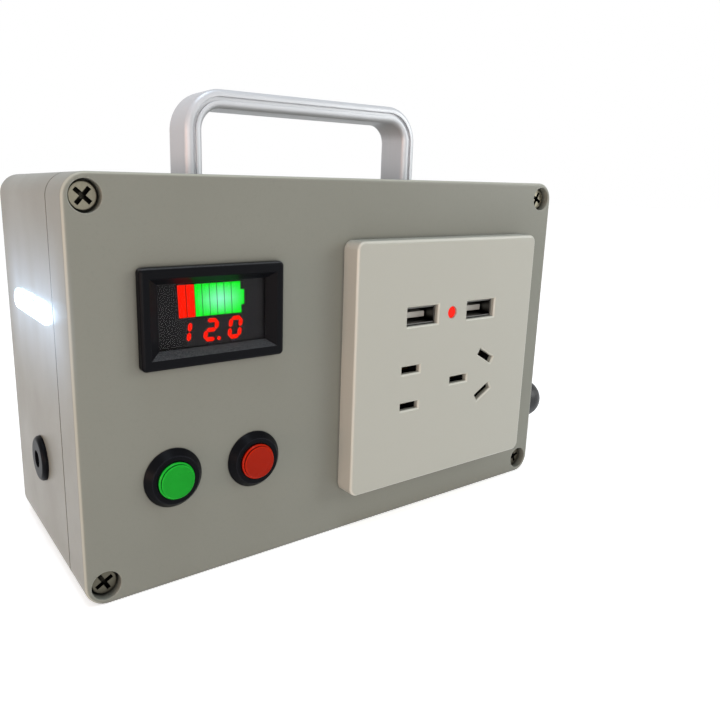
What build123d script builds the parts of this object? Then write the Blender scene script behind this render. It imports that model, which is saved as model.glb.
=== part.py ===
"""Hand crank generator: a portable power box with a crank on its right side.

Millimetres. The origin is the centre of the underside, +Z is up, the control panel faces -Y and
the crank turns on an axis along +X.
"""
from build123d import *
import os
from math import acos, asin, atan2, cos, degrees, pi, radians, sin, sqrt, tan

# ---------------------------------------------------------------- enclosure
box_width = 190.0
box_height = 120.0
box_depth = 75.0
wall = 3.0
corner_radius = 6.5
cover_depth = 15.2
front_edge_radius = 1.0
back_edge_radius = 1.5
reveal_width = 0.6            # shadow line between cover and base
reveal_depth = 0.6
gasket_width = 1.2
gasket_depth = 1.2

# corner screws of the cover
screw_inset = 6.0
post_radius = 6.0
cover_screw_length = 26.0
cover_screw_head_radius = 3.75
cover_screw_head_height = 2.4
cover_screw_recess = 2.2
counterbore_radius = 4.3
cover_screw_turns = (30.0, 48.0, 20.0, 62.0)   # how far each cross stands turned
m4_radius = 1.95
m4_tapped_radius = 2.0
m4_clear_radius = 2.15
m4_head_radius = 3.8
m4_head_height = 2.6
m3_radius = 1.45
m3_tapped_radius = 1.5
m3_clear_radius = 1.65
m3_head_radius = 2.8
m3_head_height = 1.6
cross_reach = 0.72            # length, width and depth as shares of the screw's head
cross_width = 0.32
cross_depth = 0.72

# ---------------------------------------------------------------- carrying handle
handle_width = 97.0
handle_rise = 27.2
handle_strip = 14.0
handle_thickness = 6.0
handle_bend_radius = 13.0
handle_offset = 1.0
handle_edge_radius = 1.8
handle_groove_width = 1.2
handle_groove_depth = 0.8
handle_screw_grip = 12.0
handle_washer_radius = 4.5
washer_thickness = 0.8

# ---------------------------------------------------------------- wall socket, 86 mm size
plate_size = 86.0
plate_depth = 7.3
plate_corner_radius = 3.0
plate_edge_radius = 1.0
plate_skin = 2.0
plate_rim = 2.0
plate_from_right = 59.4
plate_drop = 2.2              # below the middle
slot_lip = 0.5
socket_body_width = 52.0
socket_body_height = 62.0
socket_body_depth = 25.0
socket_screw_spacing = 60.3
usb_width = 14.3
usb_height = 6.6
usb_shell_wall = 0.4
usb_shell_setback = 1.6
usb_depth = 14.0
usb_tongue_width = 11.4
usb_tongue_thickness = 2.0
usb_tongue_length = 9.5
usb_tongue_drop = 0.5
usb_left_x = -13.7
usb_right_x = 15.1
usb_z = 17.0
indicator_x = 0.3
indicator_radius = 2.15
indicator_setback = 0.4
usb_board_thickness = 1.6
usb_pocket_width = 48.0
usb_pocket_height = 18.0
slot_width = 2.6
contact_depth = 12.0
contact_setback = 4.0
contact_gap = 1.8
contact_thickness = 0.6
# each pin slot: x and z from the plate's centre, length, turn
pin_slots = (
    (-18.1, -1.5, 8.2, 0.0),
    (-18.1, -14.6, 8.2, 0.0),
    (5.7, -8.2, 8.5, 0.0),
    (19.6, -1.2, 8.0, -30.0),
    (19.4, -15.1, 8.0, 30.0),
)
terminal_size = 7.0

# ---------------------------------------------------------------- battery meter
meter_width = 45.0
meter_height = 28.4
meter_proud = 3.0
meter_from_left = 40.6
meter_drop = 38.7             # below the top
meter_edge_radius = 1.4
meter_mouth_width = 40.0
meter_mouth_height = 22.4
meter_glass_width = 34.0
meter_glass_height = 18.5
meter_glass_shift = 0.4
meter_body_width = 41.5
meter_body_height = 25.0
meter_body_depth = 8.0
meter_body_wall = 1.5
meter_glass_setback = 0.2
meter_glass_thickness = 0.8
digit_height = 6.7
digit_width = 4.4
digit_stroke = 1.15
segment_gap = 0.3
digit_slant = 8.0
digit_relief = 0.25
digit_drop = 8.2              # all from the meter's middle
digit_one_shift = -9.15
digit_two_shift = -0.7
digit_nought_shift = 7.15
point_gap = 0.75
gauge_start = -10.4
gauge_length = 20.3
gauge_low = -0.6
gauge_height = 9.25
gauge_bar_gap = 0.3
gauge_slant = 0.4
gauge_red_width = 5.2
gauge_tip_width = 0.7
gauge_tip_height = 4.4
gauge_end_width = 3.4
display_thickness = 3.0
board_thickness = 1.6

# ---------------------------------------------------------------- push buttons
green_button_from_left = 27.0
red_button_from_left = 54.0
button_z = 34.0
button_flange_radius = 9.0
button_top_radius = 7.3
button_proud = 2.5
button_barrel_radius = 7.9
button_hole_radius = 8.0
button_barrel_length = 15.5
button_lip_radius = 5.9
button_lip_depth = 2.0
button_bore_radius = 6.7
button_cap_radius = 5.6
button_face_radius = 5.1
button_face_height = 1.2
button_cap_proud = 4.1
button_travel = 1.8
button_collar_radius = 6.4
button_collar_height = 1.5
button_plunger_radius = 2.4
button_plunger_clearance = 0.3
button_nut_radius = 11.0
button_nut_height = 3.0
spring_inner_radius = 3.1
spring_outer_radius = 4.1
switch_block_width = 14.0
switch_block_depth = 9.0

# ---------------------------------------------------------------- side lamp and power inlet
lamp_length = 39.0
lamp_height = 6.6
lamp_drop = 38.5              # below the top
lamp_proud = 1.5
lamp_skin = 1.2
lamp_flange = 2.0
lamp_flange_thickness = 1.5
lamp_clearance = 0.1
lamp_led_radius = 1.5
lamp_led_pitch = 12.0
lamp_board_height = 23.0
lamp_screw_spacing = 17.0
jack_y = 2.5
jack_z = 32.0
jack_flange_radius = 7.2
jack_flange_proud = 1.8
jack_flange_round = 1.3
jack_barrel_radius = 5.5
jack_barrel_length = 10.0
jack_bore_radius = 2.8
jack_bore_depth = 9.0
jack_tag_length = 4.0
jack_pin_radius = 1.05
jack_pin_setback = 1.0
jack_nut_radius = 8.0
jack_nut_height = 2.5

# ---------------------------------------------------------------- crank and gear train
grip_rest_height = 15.0       # grip's axis above the table at rest
shaft_radius = 4.0
running_clearance = 0.05
wall_bush_radius = 6.5
bush_flange_radius = 9.0
bush_flange_thickness = 1.5
end_play = 0.2
gear_module = 1.0
backlash = 0.2
drive_teeth = 48
idler_pinion_teeth = 12
idler_wheel_teeth = 40
rotor_pinion_teeth = 12
drive_gear_width = 5.0
idler_wheel_width = 4.0
gear_hub_radius = 6.5
outer_plate_thickness = 2.0
inner_plate_thickness = 3.0
gearbox_width = 24.0
gearbox_plate_corner = 4.0
pillar_radius = 3.5
pillar_margin = 4.5
idler_axle_radius = 2.0
arm_thickness = 5.0
arm_hub_radius = 8.5
arm_end_radius = 7.0
arm_boss_height = 2.4
crank_screw_flange_radius = 5.5
grip_radius = 9.5
grip_root_radius = 8.2
grip_end_x = 146.4
grip_gap = 0.5
grip_pin_radius = 3.0
grip_pin_head_radius = 4.5
grip_pin_head_height = 2.4
grip_well_radius = 5.0
grip_well_depth = 5.9

# ---------------------------------------------------------------- generator
generator_radius = 18.0
generator_back_gap = 0.5
generator_length = 50.0
generator_can_wall = 1.5
generator_shaft_radius = 1.6
generator_boss_radius = 5.0
generator_screw_spacing = 25.0
armature_radius = 12.5
magnet_inner_radius = 13.3
armature_length = 28.0
commutator_radius = 5.0
commutator_length = 6.0
end_cap_thickness = 3.0

# ---------------------------------------------------------------- battery and boards
cell_radius = 9.1
cell_length = 65.0
cell_pitch = 19.2
cell_floor_gap = 0.1
cell_rows = 3
cell_columns = 2
cell_back_gap = 0.3
battery_from_left = 15.0
holder_end = 3.0
holder_tray = 3.0
link_thickness = 0.3
link_width = 8.0
inverter_side_gap = 0.9        # from the battery
inverter_end_gap = 5.5         # from the gearbox
inverter_front_gap = 1.3       # behind the split
inverter_back_gap = 2.5
standoff_height = 5.0
standoff_radius = 3.0
board_screw_inset = 3.5
transformer_size = (32.0, 28.0, 28.0)
transformer_place = (15.0, 20.0)
capacitor_radius = 6.5
capacitor_height = 20.0
heat_sink_size = (22.0, 28.0, 26.0)
heat_sink_y = 17.0
heat_sink_fins = 5
fin_thickness = 1.6
heat_sink_base = 3.0
charge_board_size = (50.0, 30.0)
charge_board_gap = 5.8         # above the battery
charge_board_gap_back = 3.0    # in front of the back wall
charge_coil_size = 12.0
charge_coil_height = 7.0
charge_chip_size = (6.0, 8.0, 1.6)
charge_screw_inset = 4.0
wire_radius = 0.9
wire_bend = 1.5

# ---------------------------------------------------------------- places worked out from these
x_left = -box_width / 2
x_right = box_width / 2
y_front = -box_depth / 2
y_back = box_depth / 2
y_split = y_front + cover_depth
x_left_in = x_left + wall
x_right_in = x_right - wall
y_front_in = y_front + wall
y_back_in = y_back - wall
plate_x = x_right - plate_from_right
plate_z = box_height / 2 - plate_drop
meter_x = x_left + meter_from_left
meter_z = box_height - meter_drop
digit_z = meter_z - digit_drop
digit_one_x = meter_x + digit_one_shift
digit_two_x = meter_x + digit_two_shift
digit_nought_x = meter_x + digit_nought_shift
gauge_left = meter_x + gauge_start
gauge_right = gauge_left + gauge_length
gauge_bottom = meter_z + gauge_low
gauge_top = gauge_bottom + gauge_height
green_button_x = x_left + green_button_from_left
red_button_x = x_left + red_button_from_left
lamp_z = box_height - lamp_drop
battery_x = x_left + battery_from_left
charge_board_x = battery_x
post_x = box_width / 2 - screw_inset
post_z = (screw_inset, box_height - screw_inset)

crank_z = box_height / 2
crank_throw = crank_z - grip_rest_height
rotor_y = y_back_in - generator_radius - generator_back_gap
idler_y = rotor_y / 2
idler_distance = gear_module * (drive_teeth + idler_pinion_teeth) / 2
rotor_distance = gear_module * (idler_wheel_teeth + rotor_pinion_teeth) / 2
idler_z = crank_z + sqrt(idler_distance ** 2 - idler_y ** 2)
rotor_z = idler_z - sqrt(rotor_distance ** 2 - (rotor_y - idler_y) ** 2)

gearbox_x1 = x_right_in                                  # outer plate lies on the wall
outer_plate_x = gearbox_x1 - outer_plate_thickness
inner_plate_x1 = gearbox_x1 - gearbox_width + inner_plate_thickness
inner_plate_x0 = gearbox_x1 - gearbox_width
idler_wheel_x = inner_plate_x1 + 2.0
idler_pinion_x0 = idler_wheel_x + idler_wheel_width
drive_gear_x = idler_pinion_x0 + 4.0
drive_outer_radius = gear_module * (drive_teeth / 2 + 1)
plate_y0 = y_split + 0.3
plate_y1 = y_back_in - 0.5
plate_z0 = crank_z - drive_outer_radius - pillar_radius - 0.5
plate_z1 = box_height - 2 * screw_inset - 0.5
pillars = (
    (plate_y0 + pillar_margin, plate_z0 + pillar_margin),
    (plate_y1 - pillar_margin - 1.5, plate_z0 + pillar_margin),
    (plate_y0 + pillar_margin, plate_z1 - pillar_margin),
    (plate_y1 - pillar_margin + 0.5, plate_z1 - pillar_margin),
)
bush_end_x = x_right + bush_flange_thickness
hub_x0 = bush_end_x + end_play
arm_x0 = hub_x0 + arm_boss_height
arm_x1 = arm_x0 + arm_thickness
grip_z = crank_z - crank_throw
grip_x0 = arm_x1 + grip_gap
grip_dome_x = grip_end_x - grip_radius
grip_well_x = grip_dome_x - grip_well_depth
can_x1 = inner_plate_x0
can_x0 = can_x1 - generator_length


# ---------------------------------------------------------------- building blocks
def block(x0, x1, y0, y1, z0, z1):
    """A box between two corners."""
    middle = Pos((x0 + x1) / 2, (y0 + y1) / 2, (z0 + z1) / 2)
    return middle * Box(x1 - x0, y1 - y0, z1 - z0)


def rod_x(radius, x0, x1, y, z):
    """A round bar along X."""
    return Pos((x0 + x1) / 2, y, z) * Rot(0, 90, 0) * Cylinder(radius, x1 - x0)


def rod_y(radius, y0, y1, x, z):
    """A round bar along Y."""
    return Pos(x, (y0 + y1) / 2, z) * Rot(90, 0, 0) * Cylinder(radius, y1 - y0)


def rod_z(radius, z0, z1, x, y):
    """A round bar along Z."""
    return Pos(x, y, (z0 + z1) / 2) * Cylinder(radius, z1 - z0)


def slab_y(width, height, radius, y0, y1, x, z):
    """A rounded rectangle in XZ, thick along Y."""
    plane = Plane(origin=(x, y0, z), x_dir=(1, 0, 0), z_dir=(0, 1, 0))
    return extrude(plane * RectangleRounded(width, height, radius), y1 - y0)


def slab_x(width, height, radius, x0, x1, y, z):
    """A rounded rectangle in YZ, thick along X."""
    plane = Plane(origin=(x0, y, z), x_dir=(0, 1, 0), z_dir=(1, 0, 0))
    return extrude(plane * RectangleRounded(width, height, radius), x1 - x0)


def facing(x, y, z):
    """A drawing plane that looks out of the front: its x is right and its y is up."""
    return Plane(origin=(x, y, z), x_dir=(1, 0, 0), z_dir=(0, -1, 0))


def polygon(points):
    """A flat face with straight sides."""
    return make_face(Polyline(*points, close=True))


def hex_nut_y(across, bore, y0, y1, x, z):
    """A hexagon nut along Y; across is its corner radius."""
    body = extrude(facing(x, y1, z) * RegularPolygon(across, 6), y1 - y0)
    return body - rod_y(bore, y0 - 1, y1 + 1, x, z)


def cross_cut(head_radius, head_height, turn):
    """The cross recess of a screw whose head looks along -Y, with its top at the origin."""
    length = 2 * cross_reach * head_radius
    width = cross_width * head_radius
    depth = 2 * cross_depth * head_height
    return Rot(0, -turn, 0) * (Box(length, depth, width) + Box(width, depth, length))


def pan_screw(head_radius, head_height, shank_radius, shank_length, turn=0.0):
    """A cross-headed screw along +Y with the underside of its head at the origin."""
    head = rod_y(head_radius, -head_height, 0, 0, 0)
    rim = head.faces().sort_by(Axis.Y)[0].edges()
    head = fillet(rim, head_height * 0.15)
    shank = rod_y(shank_radius, 0, shank_length, 0, 0)
    return head + shank - Pos(0, -head_height, 0) * cross_cut(head_radius, head_height, turn)


def outline_y(inset, y0, y1):
    """The enclosure's outline, moved in by inset, from y0 to y1."""
    radius = corner_radius - inset
    return slab_y(box_width - 2 * inset, box_height - 2 * inset, radius, y0, y1, 0, box_height / 2)


def write(name, *solids):
    """Write one named piece, or a group of separate solids, to its own file."""
    pieces = [solid for shape in solids for solid in shape.solids()]
    shape = pieces[0] if len(pieces) == 1 else Compound(children=pieces)
    shape.label = name
    export_step(shape, f"parts/{name}.step")


# ---------------------------------------------------------------- gears
def flank_half_angle(radius, teeth):
    """Half the angle that an involute tooth of 20 degrees takes at this radius."""
    pitch_radius = gear_module * teeth / 2
    base_radius = pitch_radius * cos(radians(20))
    pressure = acos(min(1.0, base_radius / max(radius, base_radius)))
    pitch_half = pi / (2 * teeth) - backlash / (2 * pitch_radius)
    return pitch_half + (tan(radians(20)) - radians(20)) - (tan(pressure) - pressure)


def gear(teeth, phase, x0, x1, y, z):
    """A spur gear along X with one tooth at the angle phase, counted from +Y towards +Z."""
    pitch_radius = gear_module * teeth / 2
    radii = (pitch_radius - 1.25 * gear_module, pitch_radius - 0.5 * gear_module, pitch_radius,
             pitch_radius + 0.55 * gear_module, pitch_radius + gear_module)
    points = []
    for tooth in range(teeth):
        middle = phase + 2 * pi * tooth / teeth
        flank = [(radius, flank_half_angle(radius, teeth)) for radius in radii]
        points += [(r * cos(middle - a), r * sin(middle - a)) for r, a in flank]
        points += [(r * cos(middle + a), r * sin(middle + a)) for r, a in reversed(flank)]
    plane = Plane(origin=(x0, y, z), x_dir=(0, 1, 0), z_dir=(1, 0, 0))
    return extrude(plane * polygon(points), x1 - x0)


def meshed_phase(driver_teeth, driver_phase, follower_teeth, direction):
    """The follower's phase that puts a gap of it where the driver has a tooth on the line of centres."""
    driver_turns = (direction - driver_phase) * driver_teeth / (2 * pi)
    return direction + pi - (0.5 - driver_turns) * 2 * pi / follower_teeth


idler_direction = atan2(idler_z - crank_z, idler_y)
rotor_direction = atan2(rotor_z - idler_z, rotor_y - idler_y)
idler_phase = meshed_phase(drive_teeth, 0.0, idler_pinion_teeth, idler_direction)
rotor_phase = meshed_phase(idler_wheel_teeth, idler_phase, rotor_pinion_teeth, rotor_direction)


# ---------------------------------------------------------------- enclosure
def corner_posts(y0, y1):
    """Four posts for the corner screws, trimmed to the enclosure's outline."""
    posts = [rod_y(post_radius, y0, y1, side * post_x, z) for side in (-1, 1) for z in post_z]
    return (posts[0] + posts[1] + posts[2] + posts[3]) & outline_y(0, y0, y1)


def base_shell():
    """The deep rear half: walls, back, posts, bosses and every hole in the sides."""
    shell = outline_y(0, y_split, y_back)
    shell = fillet(shell.faces().sort_by(Axis.Y)[-1].edges(), back_edge_radius)
    shell -= outline_y(wall, y_split - 1, y_back_in)
    shell += corner_posts(y_split, y_back - back_edge_radius)
    screw_end = y_front + cover_screw_recess + cover_screw_head_height + cover_screw_length
    for side in (-1, 1):
        for z in post_z:
            shell -= rod_y(m4_tapped_radius, y_split - 1, screw_end + 2, side * post_x, z)
    groove = (wall - gasket_width) / 2
    seat = outline_y(groove, y_split - 1, y_split + gasket_depth)
    shell -= seat - outline_y(groove + gasket_width, y_split - 2, y_split + gasket_depth + 1)
    for x in handle_leg_x():
        shell -= rod_z(m4_clear_radius, box_height - wall - 1, box_height + 1, x, 0)
    shell += inverter_standoffs() + charge_standoffs() + lamp_bosses()
    shell -= slab_x(lamp_length, lamp_height, lamp_height / 2 - 0.01, x_left - 1, x_left_in + 1, 0, lamp_z)
    shell -= rod_x(jack_barrel_radius + 0.1, x_left - 1, x_left_in + 1, jack_y, jack_z)
    shell -= rod_x(wall_bush_radius, x_right_in - 1, x_right + 1, 0, crank_z)
    for y, z in pillars:
        shell -= rod_x(m3_clear_radius, x_right_in - 1, x_right + 1, y, z)
    return shell


def front_cover():
    """The shallow front half that carries the socket, the meter and the buttons."""
    cover = outline_y(0, y_front, y_split)
    cover = fillet(cover.faces().sort_by(Axis.Y)[0].edges(), front_edge_radius)
    cover -= outline_y(wall, y_front_in, y_split + 1)
    cover += corner_posts(y_front + wall / 2, y_split)
    reveal = outline_y(-1, y_split - reveal_width, y_split + 1)
    cover -= reveal - outline_y(reveal_depth, y_split - reveal_width - 1, y_split + 2)
    for side in (-1, 1):
        for z in post_z:
            seat = y_front + cover_screw_recess + cover_screw_head_height
            cover -= rod_y(counterbore_radius, y_front - 1, seat, side * post_x, z)
            cover -= rod_y(m4_clear_radius, y_front, y_split + 1, side * post_x, z)
    cover -= block(meter_x - meter_body_width / 2 - 0.2, meter_x + meter_body_width / 2 + 0.2,
                   y_front - 1, y_front_in + 1,
                   meter_z - meter_body_height / 2 - 0.2, meter_z + meter_body_height / 2 + 0.2)
    cover -= block(plate_x - socket_body_width / 2 - 0.5, plate_x + socket_body_width / 2 + 0.5,
                   y_front - 1, y_front_in + 1,
                   plate_z - socket_body_height / 2 - 0.5, plate_z + socket_body_height / 2 + 0.5)
    for x in socket_screw_x():
        cover -= rod_y(m4_clear_radius, y_front - 1, y_front_in + 1, x, plate_z)
    for x in (green_button_x, red_button_x):
        cover -= rod_y(button_hole_radius, y_front - 1, y_front_in + 1, x, button_z)
    return cover


def cover_gasket():
    """The rubber ring in the base's rim."""
    groove = (wall - gasket_width) / 2 + 0.1
    ring = outline_y(groove, y_split, y_split + gasket_depth)
    return ring - outline_y(groove + gasket_width - 0.2, y_split - 1, y_split + gasket_depth + 1)


def cover_screws():
    """The four corner screws, each with its cross turned its own way."""
    y = y_front + cover_screw_recess + cover_screw_head_height
    corners = [(side * post_x, z) for side in (-1, 1) for z in post_z]
    return [
        Pos(x, y, z) * pan_screw(cover_screw_head_radius, cover_screw_head_height,
                                 m4_radius, cover_screw_length, turn)
        for (x, z), turn in zip(corners, cover_screw_turns)
    ]


# ---------------------------------------------------------------- handle
def handle_leg_x():
    """The middle of each leg."""
    reach = (handle_width - handle_thickness) / 2
    return (handle_offset - reach, handle_offset + reach)


def handle_band(inset, thickness, y0, y1):
    """A bent band under the handle's outer outline, moved in by inset."""
    height = 2 * handle_rise + 40
    middle_z = box_height + handle_rise - height / 2
    outer = slab_y(handle_width - 2 * inset, height - 2 * inset, handle_bend_radius - inset,
                   y0, y1, handle_offset, middle_z)
    far = inset + thickness
    inner = slab_y(handle_width - 2 * far, height - 2 * far, handle_bend_radius - far,
                   y0 - 1, y1 + 1, handle_offset, middle_z)
    above = block(-box_width, box_width, y0 - 2, y1 + 2, box_height, box_height + handle_rise + 10)
    return (outer - inner) & above


def carry_handle():
    """The bent aluminium strip, rounded along its edges, with a groove in each narrow face."""
    half = handle_strip / 2
    strip = handle_band(0, handle_thickness, -half, half)
    rims = [edge for edge in strip.edges()
            if abs(abs(edge.center().Y) - half) < 0.01 and edge.center().Z > box_height + 0.1]
    strip = fillet(rims, handle_edge_radius)
    groove_inset = (handle_thickness - handle_groove_width) / 2
    for y0, y1 in ((-half - 1, -half + handle_groove_depth), (half - handle_groove_depth, half + 1)):
        strip -= handle_band(groove_inset, handle_groove_width, y0, y1)
    for x in handle_leg_x():
        strip -= rod_z(m4_tapped_radius, box_height - 1, box_height + handle_screw_grip - wall + 1, x, 0)
    return strip


def handle_washers():
    """A washer under each handle screw."""
    top = box_height - wall
    return [rod_z(handle_washer_radius, top - washer_thickness, top, x, 0)
            - rod_z(m4_clear_radius, top - 2, top + 1, x, 0) for x in handle_leg_x()]


def handle_screws():
    """The screws that hold the legs from inside."""
    seat = box_height - wall - washer_thickness
    length = washer_thickness + handle_screw_grip
    screw = Rot(90, 0, 0) * pan_screw(m4_head_radius, m4_head_height, m4_radius, length)
    return [Pos(x, 0, seat) * screw for x in handle_leg_x()]


# ---------------------------------------------------------------- wall socket
def socket_screw_x():
    """Where the socket's two screws stand."""
    return (plate_x - socket_screw_spacing / 2, plate_x + socket_screw_spacing / 2)


skin_y = y_front - plate_depth + plate_skin      # back of the faceplate's skin
flange_y = skin_y + 0.1
usb_back_y = y_front - plate_depth + usb_shell_setback + usb_depth
contact_back_y = flange_y + contact_depth + contact_setback
body_back_y = y_front + socket_body_depth


def slot_tool(slot, extra_length, extra_width, y0, y1):
    """A cutter along one pin slot."""
    x, z, length, turn = slot
    bar = block(-(length + extra_length) / 2, (length + extra_length) / 2, y0, y1,
                -(slot_width + extra_width) / 2, (slot_width + extra_width) / 2)
    return Pos(plate_x + x, 0, plate_z + z) * Rot(0, -turn, 0) * bar


def usb_hole(x, extra, y0, y1):
    """A cutter around one USB port."""
    return block(plate_x + x - usb_width / 2 - extra, plate_x + x + usb_width / 2 + extra, y0, y1,
                 plate_z + usb_z - usb_height / 2 - extra, plate_z + usb_z + usb_height / 2 + extra)


def lip(width, height, x, z, turn=0.0):
    """The bevelled lip of an opening in the faceplate."""
    plane = Plane(origin=(0, 0, 0), x_dir=(1, 0, 0), z_dir=(0, 1, 0))
    cut = extrude(plane * Rectangle(width + 2 * slot_lip, height + 2 * slot_lip), slot_lip, taper=45)
    return Pos(plate_x + x, y_front - plate_depth, plate_z + z) * Rot(0, -turn, 0) * cut


def socket_faceplate():
    """The snap-on cream frame with its openings."""
    face_y = y_front - plate_depth
    plate = slab_y(plate_size, plate_size, plate_corner_radius, face_y, y_front, plate_x, plate_z)
    plate = fillet(plate.faces().sort_by(Axis.Y)[0].edges(), plate_edge_radius)
    inside = plate_size - 2 * plate_rim
    plate -= slab_y(inside, inside, plate_corner_radius / 2, skin_y, y_front + 1, plate_x, plate_z)
    for slot in pin_slots:
        x, z, length, turn = slot
        plate -= slot_tool(slot, 0, 0, face_y - 1, skin_y + 1)
        plate -= lip(length, slot_width, x, z, turn)
    for x in (usb_left_x, usb_right_x):
        plate -= usb_hole(x, 0, face_y - 1, skin_y + 1)
        plate -= lip(usb_width, usb_height, x, usb_z)
    plate -= rod_y(indicator_radius + 0.05, face_y - 1, skin_y + 1, plate_x + indicator_x, plate_z + usb_z)
    return plate


def socket_body():
    """The socket's working block: a flange on the panel and a deep body behind it."""
    flange = plate_size - 2 * plate_rim - 0.6
    body = slab_y(flange, flange, plate_corner_radius / 2, flange_y, y_front, plate_x, plate_z)
    body += block(plate_x - socket_body_width / 2, plate_x + socket_body_width / 2, y_front, body_back_y,
                  plate_z - socket_body_height / 2, plate_z + socket_body_height / 2)
    for slot in pin_slots:
        body -= slot_tool(slot, 1.0, 2.6, flange_y - 1, contact_back_y)
    for x in (usb_left_x, usb_right_x):
        body -= usb_hole(x, 0, flange_y - 1, usb_back_y + 1)
    body -= block(plate_x - usb_pocket_width / 2, plate_x + usb_pocket_width / 2, usb_back_y, body_back_y + 1,
                  plate_z + usb_z - usb_pocket_height / 2, plate_z + usb_z + usb_pocket_height / 2)
    body -= rod_y(indicator_radius + 0.1, flange_y - 1, usb_back_y + 1, plate_x + indicator_x, plate_z + usb_z)
    for x in socket_screw_x():
        body -= rod_y(m4_head_radius + 0.4, flange_y - 1, flange_y + m4_head_height + 0.4, x, plate_z)
        body -= rod_y(m4_clear_radius, flange_y, y_front + 1, x, plate_z)
    return body


def socket_contacts():
    """One sprung brass clip behind each pin slot."""
    front = contact_back_y - contact_depth
    clips = []
    for x, z, length, turn in pin_slots:
        half = contact_gap / 2
        clip = block(-length / 2, length / 2, front, contact_back_y,
                     -half - contact_thickness, half + contact_thickness)
        clip -= block(-length, length, front - 1, contact_back_y - contact_thickness, -half, half)
        clips.append(Pos(plate_x + x, 0, plate_z + z) * Rot(0, -turn, 0) * clip)
    return clips


def socket_terminals():
    """Brass terminal blocks on the back of the body, with a wire hole each."""
    blocks = []
    for x in (-16.0, 0.0, 16.0):
        low = plate_z - socket_body_height / 2 + 8
        terminal = block(plate_x + x - terminal_size / 2, plate_x + x + terminal_size / 2,
                         body_back_y, body_back_y + terminal_size - 2, low, low + terminal_size)
        blocks.append(terminal - rod_z(1.2, low - 1, low + 4, plate_x + x, body_back_y + 2.5))
    return blocks


def socket_screws():
    """The two screws that hold the body to the panel."""
    seat = flange_y + m4_head_height + 0.4
    length = y_front_in + 4.4 - seat
    screw = pan_screw(m4_head_radius, m4_head_height, m4_radius, length, 30)
    return [Pos(x, seat, plate_z) * screw for x in socket_screw_x()]


def socket_nuts():
    """The nuts behind the panel on those screws."""
    return [hex_nut_y(4.0, m4_tapped_radius, y_front_in, y_front_in + 3.2, x, plate_z)
            for x in socket_screw_x()]


def usb_shell(x):
    """A USB port's pressed metal shell."""
    y0 = usb_back_y - usb_depth
    shell = usb_hole(x, -0.3, y0, usb_back_y)
    return shell - usb_hole(x, -0.3 - usb_shell_wall, y0 - 1, usb_back_y - usb_shell_wall)


def usb_tongue(x):
    """The plastic tongue in a USB port."""
    y1 = usb_back_y - usb_shell_wall
    z = plate_z + usb_z - usb_tongue_drop
    return block(plate_x + x - usb_tongue_width / 2, plate_x + x + usb_tongue_width / 2,
                 y1 - usb_tongue_length, y1, z - usb_tongue_thickness / 2, z + usb_tongue_thickness / 2)


def usb_board():
    """The small board behind both ports."""
    y1 = usb_back_y + usb_board_thickness
    z = plate_z + usb_z
    board = block(plate_x - usb_pocket_width / 2 + 0.5, plate_x + usb_pocket_width / 2 - 0.5, usb_back_y, y1,
                  z - usb_pocket_height / 2 + 0.5, z + usb_pocket_height / 2 - 0.5)
    chip = block(plate_x - 8, plate_x - 1, y1, y1 + 1.5, z - 3, z + 3)
    coil = rod_y(4.0, y1, y1 + 4, plate_x + 9, z)
    return board + chip + coil


def socket_indicator():
    """The red lamp between the USB ports."""
    y0 = y_front - plate_depth + indicator_setback
    lamp = rod_y(indicator_radius, y0, usb_back_y, plate_x + indicator_x, plate_z + usb_z)
    return fillet(lamp.faces().sort_by(Axis.Y)[0].edges(), 0.6)


# ---------------------------------------------------------------- battery meter
glass_y = y_front - meter_glass_setback
digit_y = glass_y + meter_glass_thickness
display_y = digit_y + digit_relief
meter_board_y = display_y + display_thickness
glass_x = meter_x + meter_glass_shift


def meter_bezel():
    """The black frame with a funnel-shaped mouth and a body that clips into the panel."""
    face_y = y_front - meter_proud
    frame = slab_y(meter_width, meter_height, meter_edge_radius, face_y, y_front, meter_x, meter_z)
    frame = fillet(frame.faces().sort_by(Axis.Y)[0].edges(), meter_edge_radius * 0.75)
    frame += block(meter_x - meter_body_width / 2, meter_x + meter_body_width / 2,
                   y_front, y_front + meter_body_depth,
                   meter_z - meter_body_height / 2, meter_z + meter_body_height / 2)
    for side in (-1, 1):
        x = meter_x + side * (meter_body_width / 2 + 0.6)
        frame += block(x - 0.8, x + 0.8, y_front_in, y_front_in + 3.5, meter_z - 4, meter_z + 4)
    funnel = loft([facing(meter_x, face_y, meter_z) * Rectangle(meter_mouth_width, meter_mouth_height),
                   facing(glass_x, glass_y, meter_z) * Rectangle(meter_glass_width, meter_glass_height)])
    frame -= funnel
    inside = 2 * meter_body_wall
    frame -= block(meter_x - meter_body_width / 2 + meter_body_wall,
                   meter_x + meter_body_width / 2 - meter_body_wall,
                   glass_y, y_front + meter_body_depth + 1,
                   meter_z - (meter_body_height - inside) / 2, meter_z + (meter_body_height - inside) / 2)
    return frame


def meter_inner(y0, y1, gap=0.1):
    """A plate that fits inside the meter's body."""
    half_width = meter_body_width / 2 - meter_body_wall - gap
    half_height = meter_body_height / 2 - meter_body_wall - gap
    return block(meter_x - half_width, meter_x + half_width, y0, y1,
                 meter_z - half_height, meter_z + half_height)


def meter_board():
    """The meter's circuit board, which closes the body, with its chip and lead socket."""
    y1 = meter_board_y + board_thickness
    board = meter_inner(meter_board_y, y1)
    chip = block(meter_x - 12, meter_x - 4, y1, y1 + 1.6, meter_z - 3, meter_z + 3)
    header = block(meter_x + 6, meter_x + 14, y1, y1 + 6, meter_z - 3, meter_z + 3)
    return board + chip + header


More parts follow.
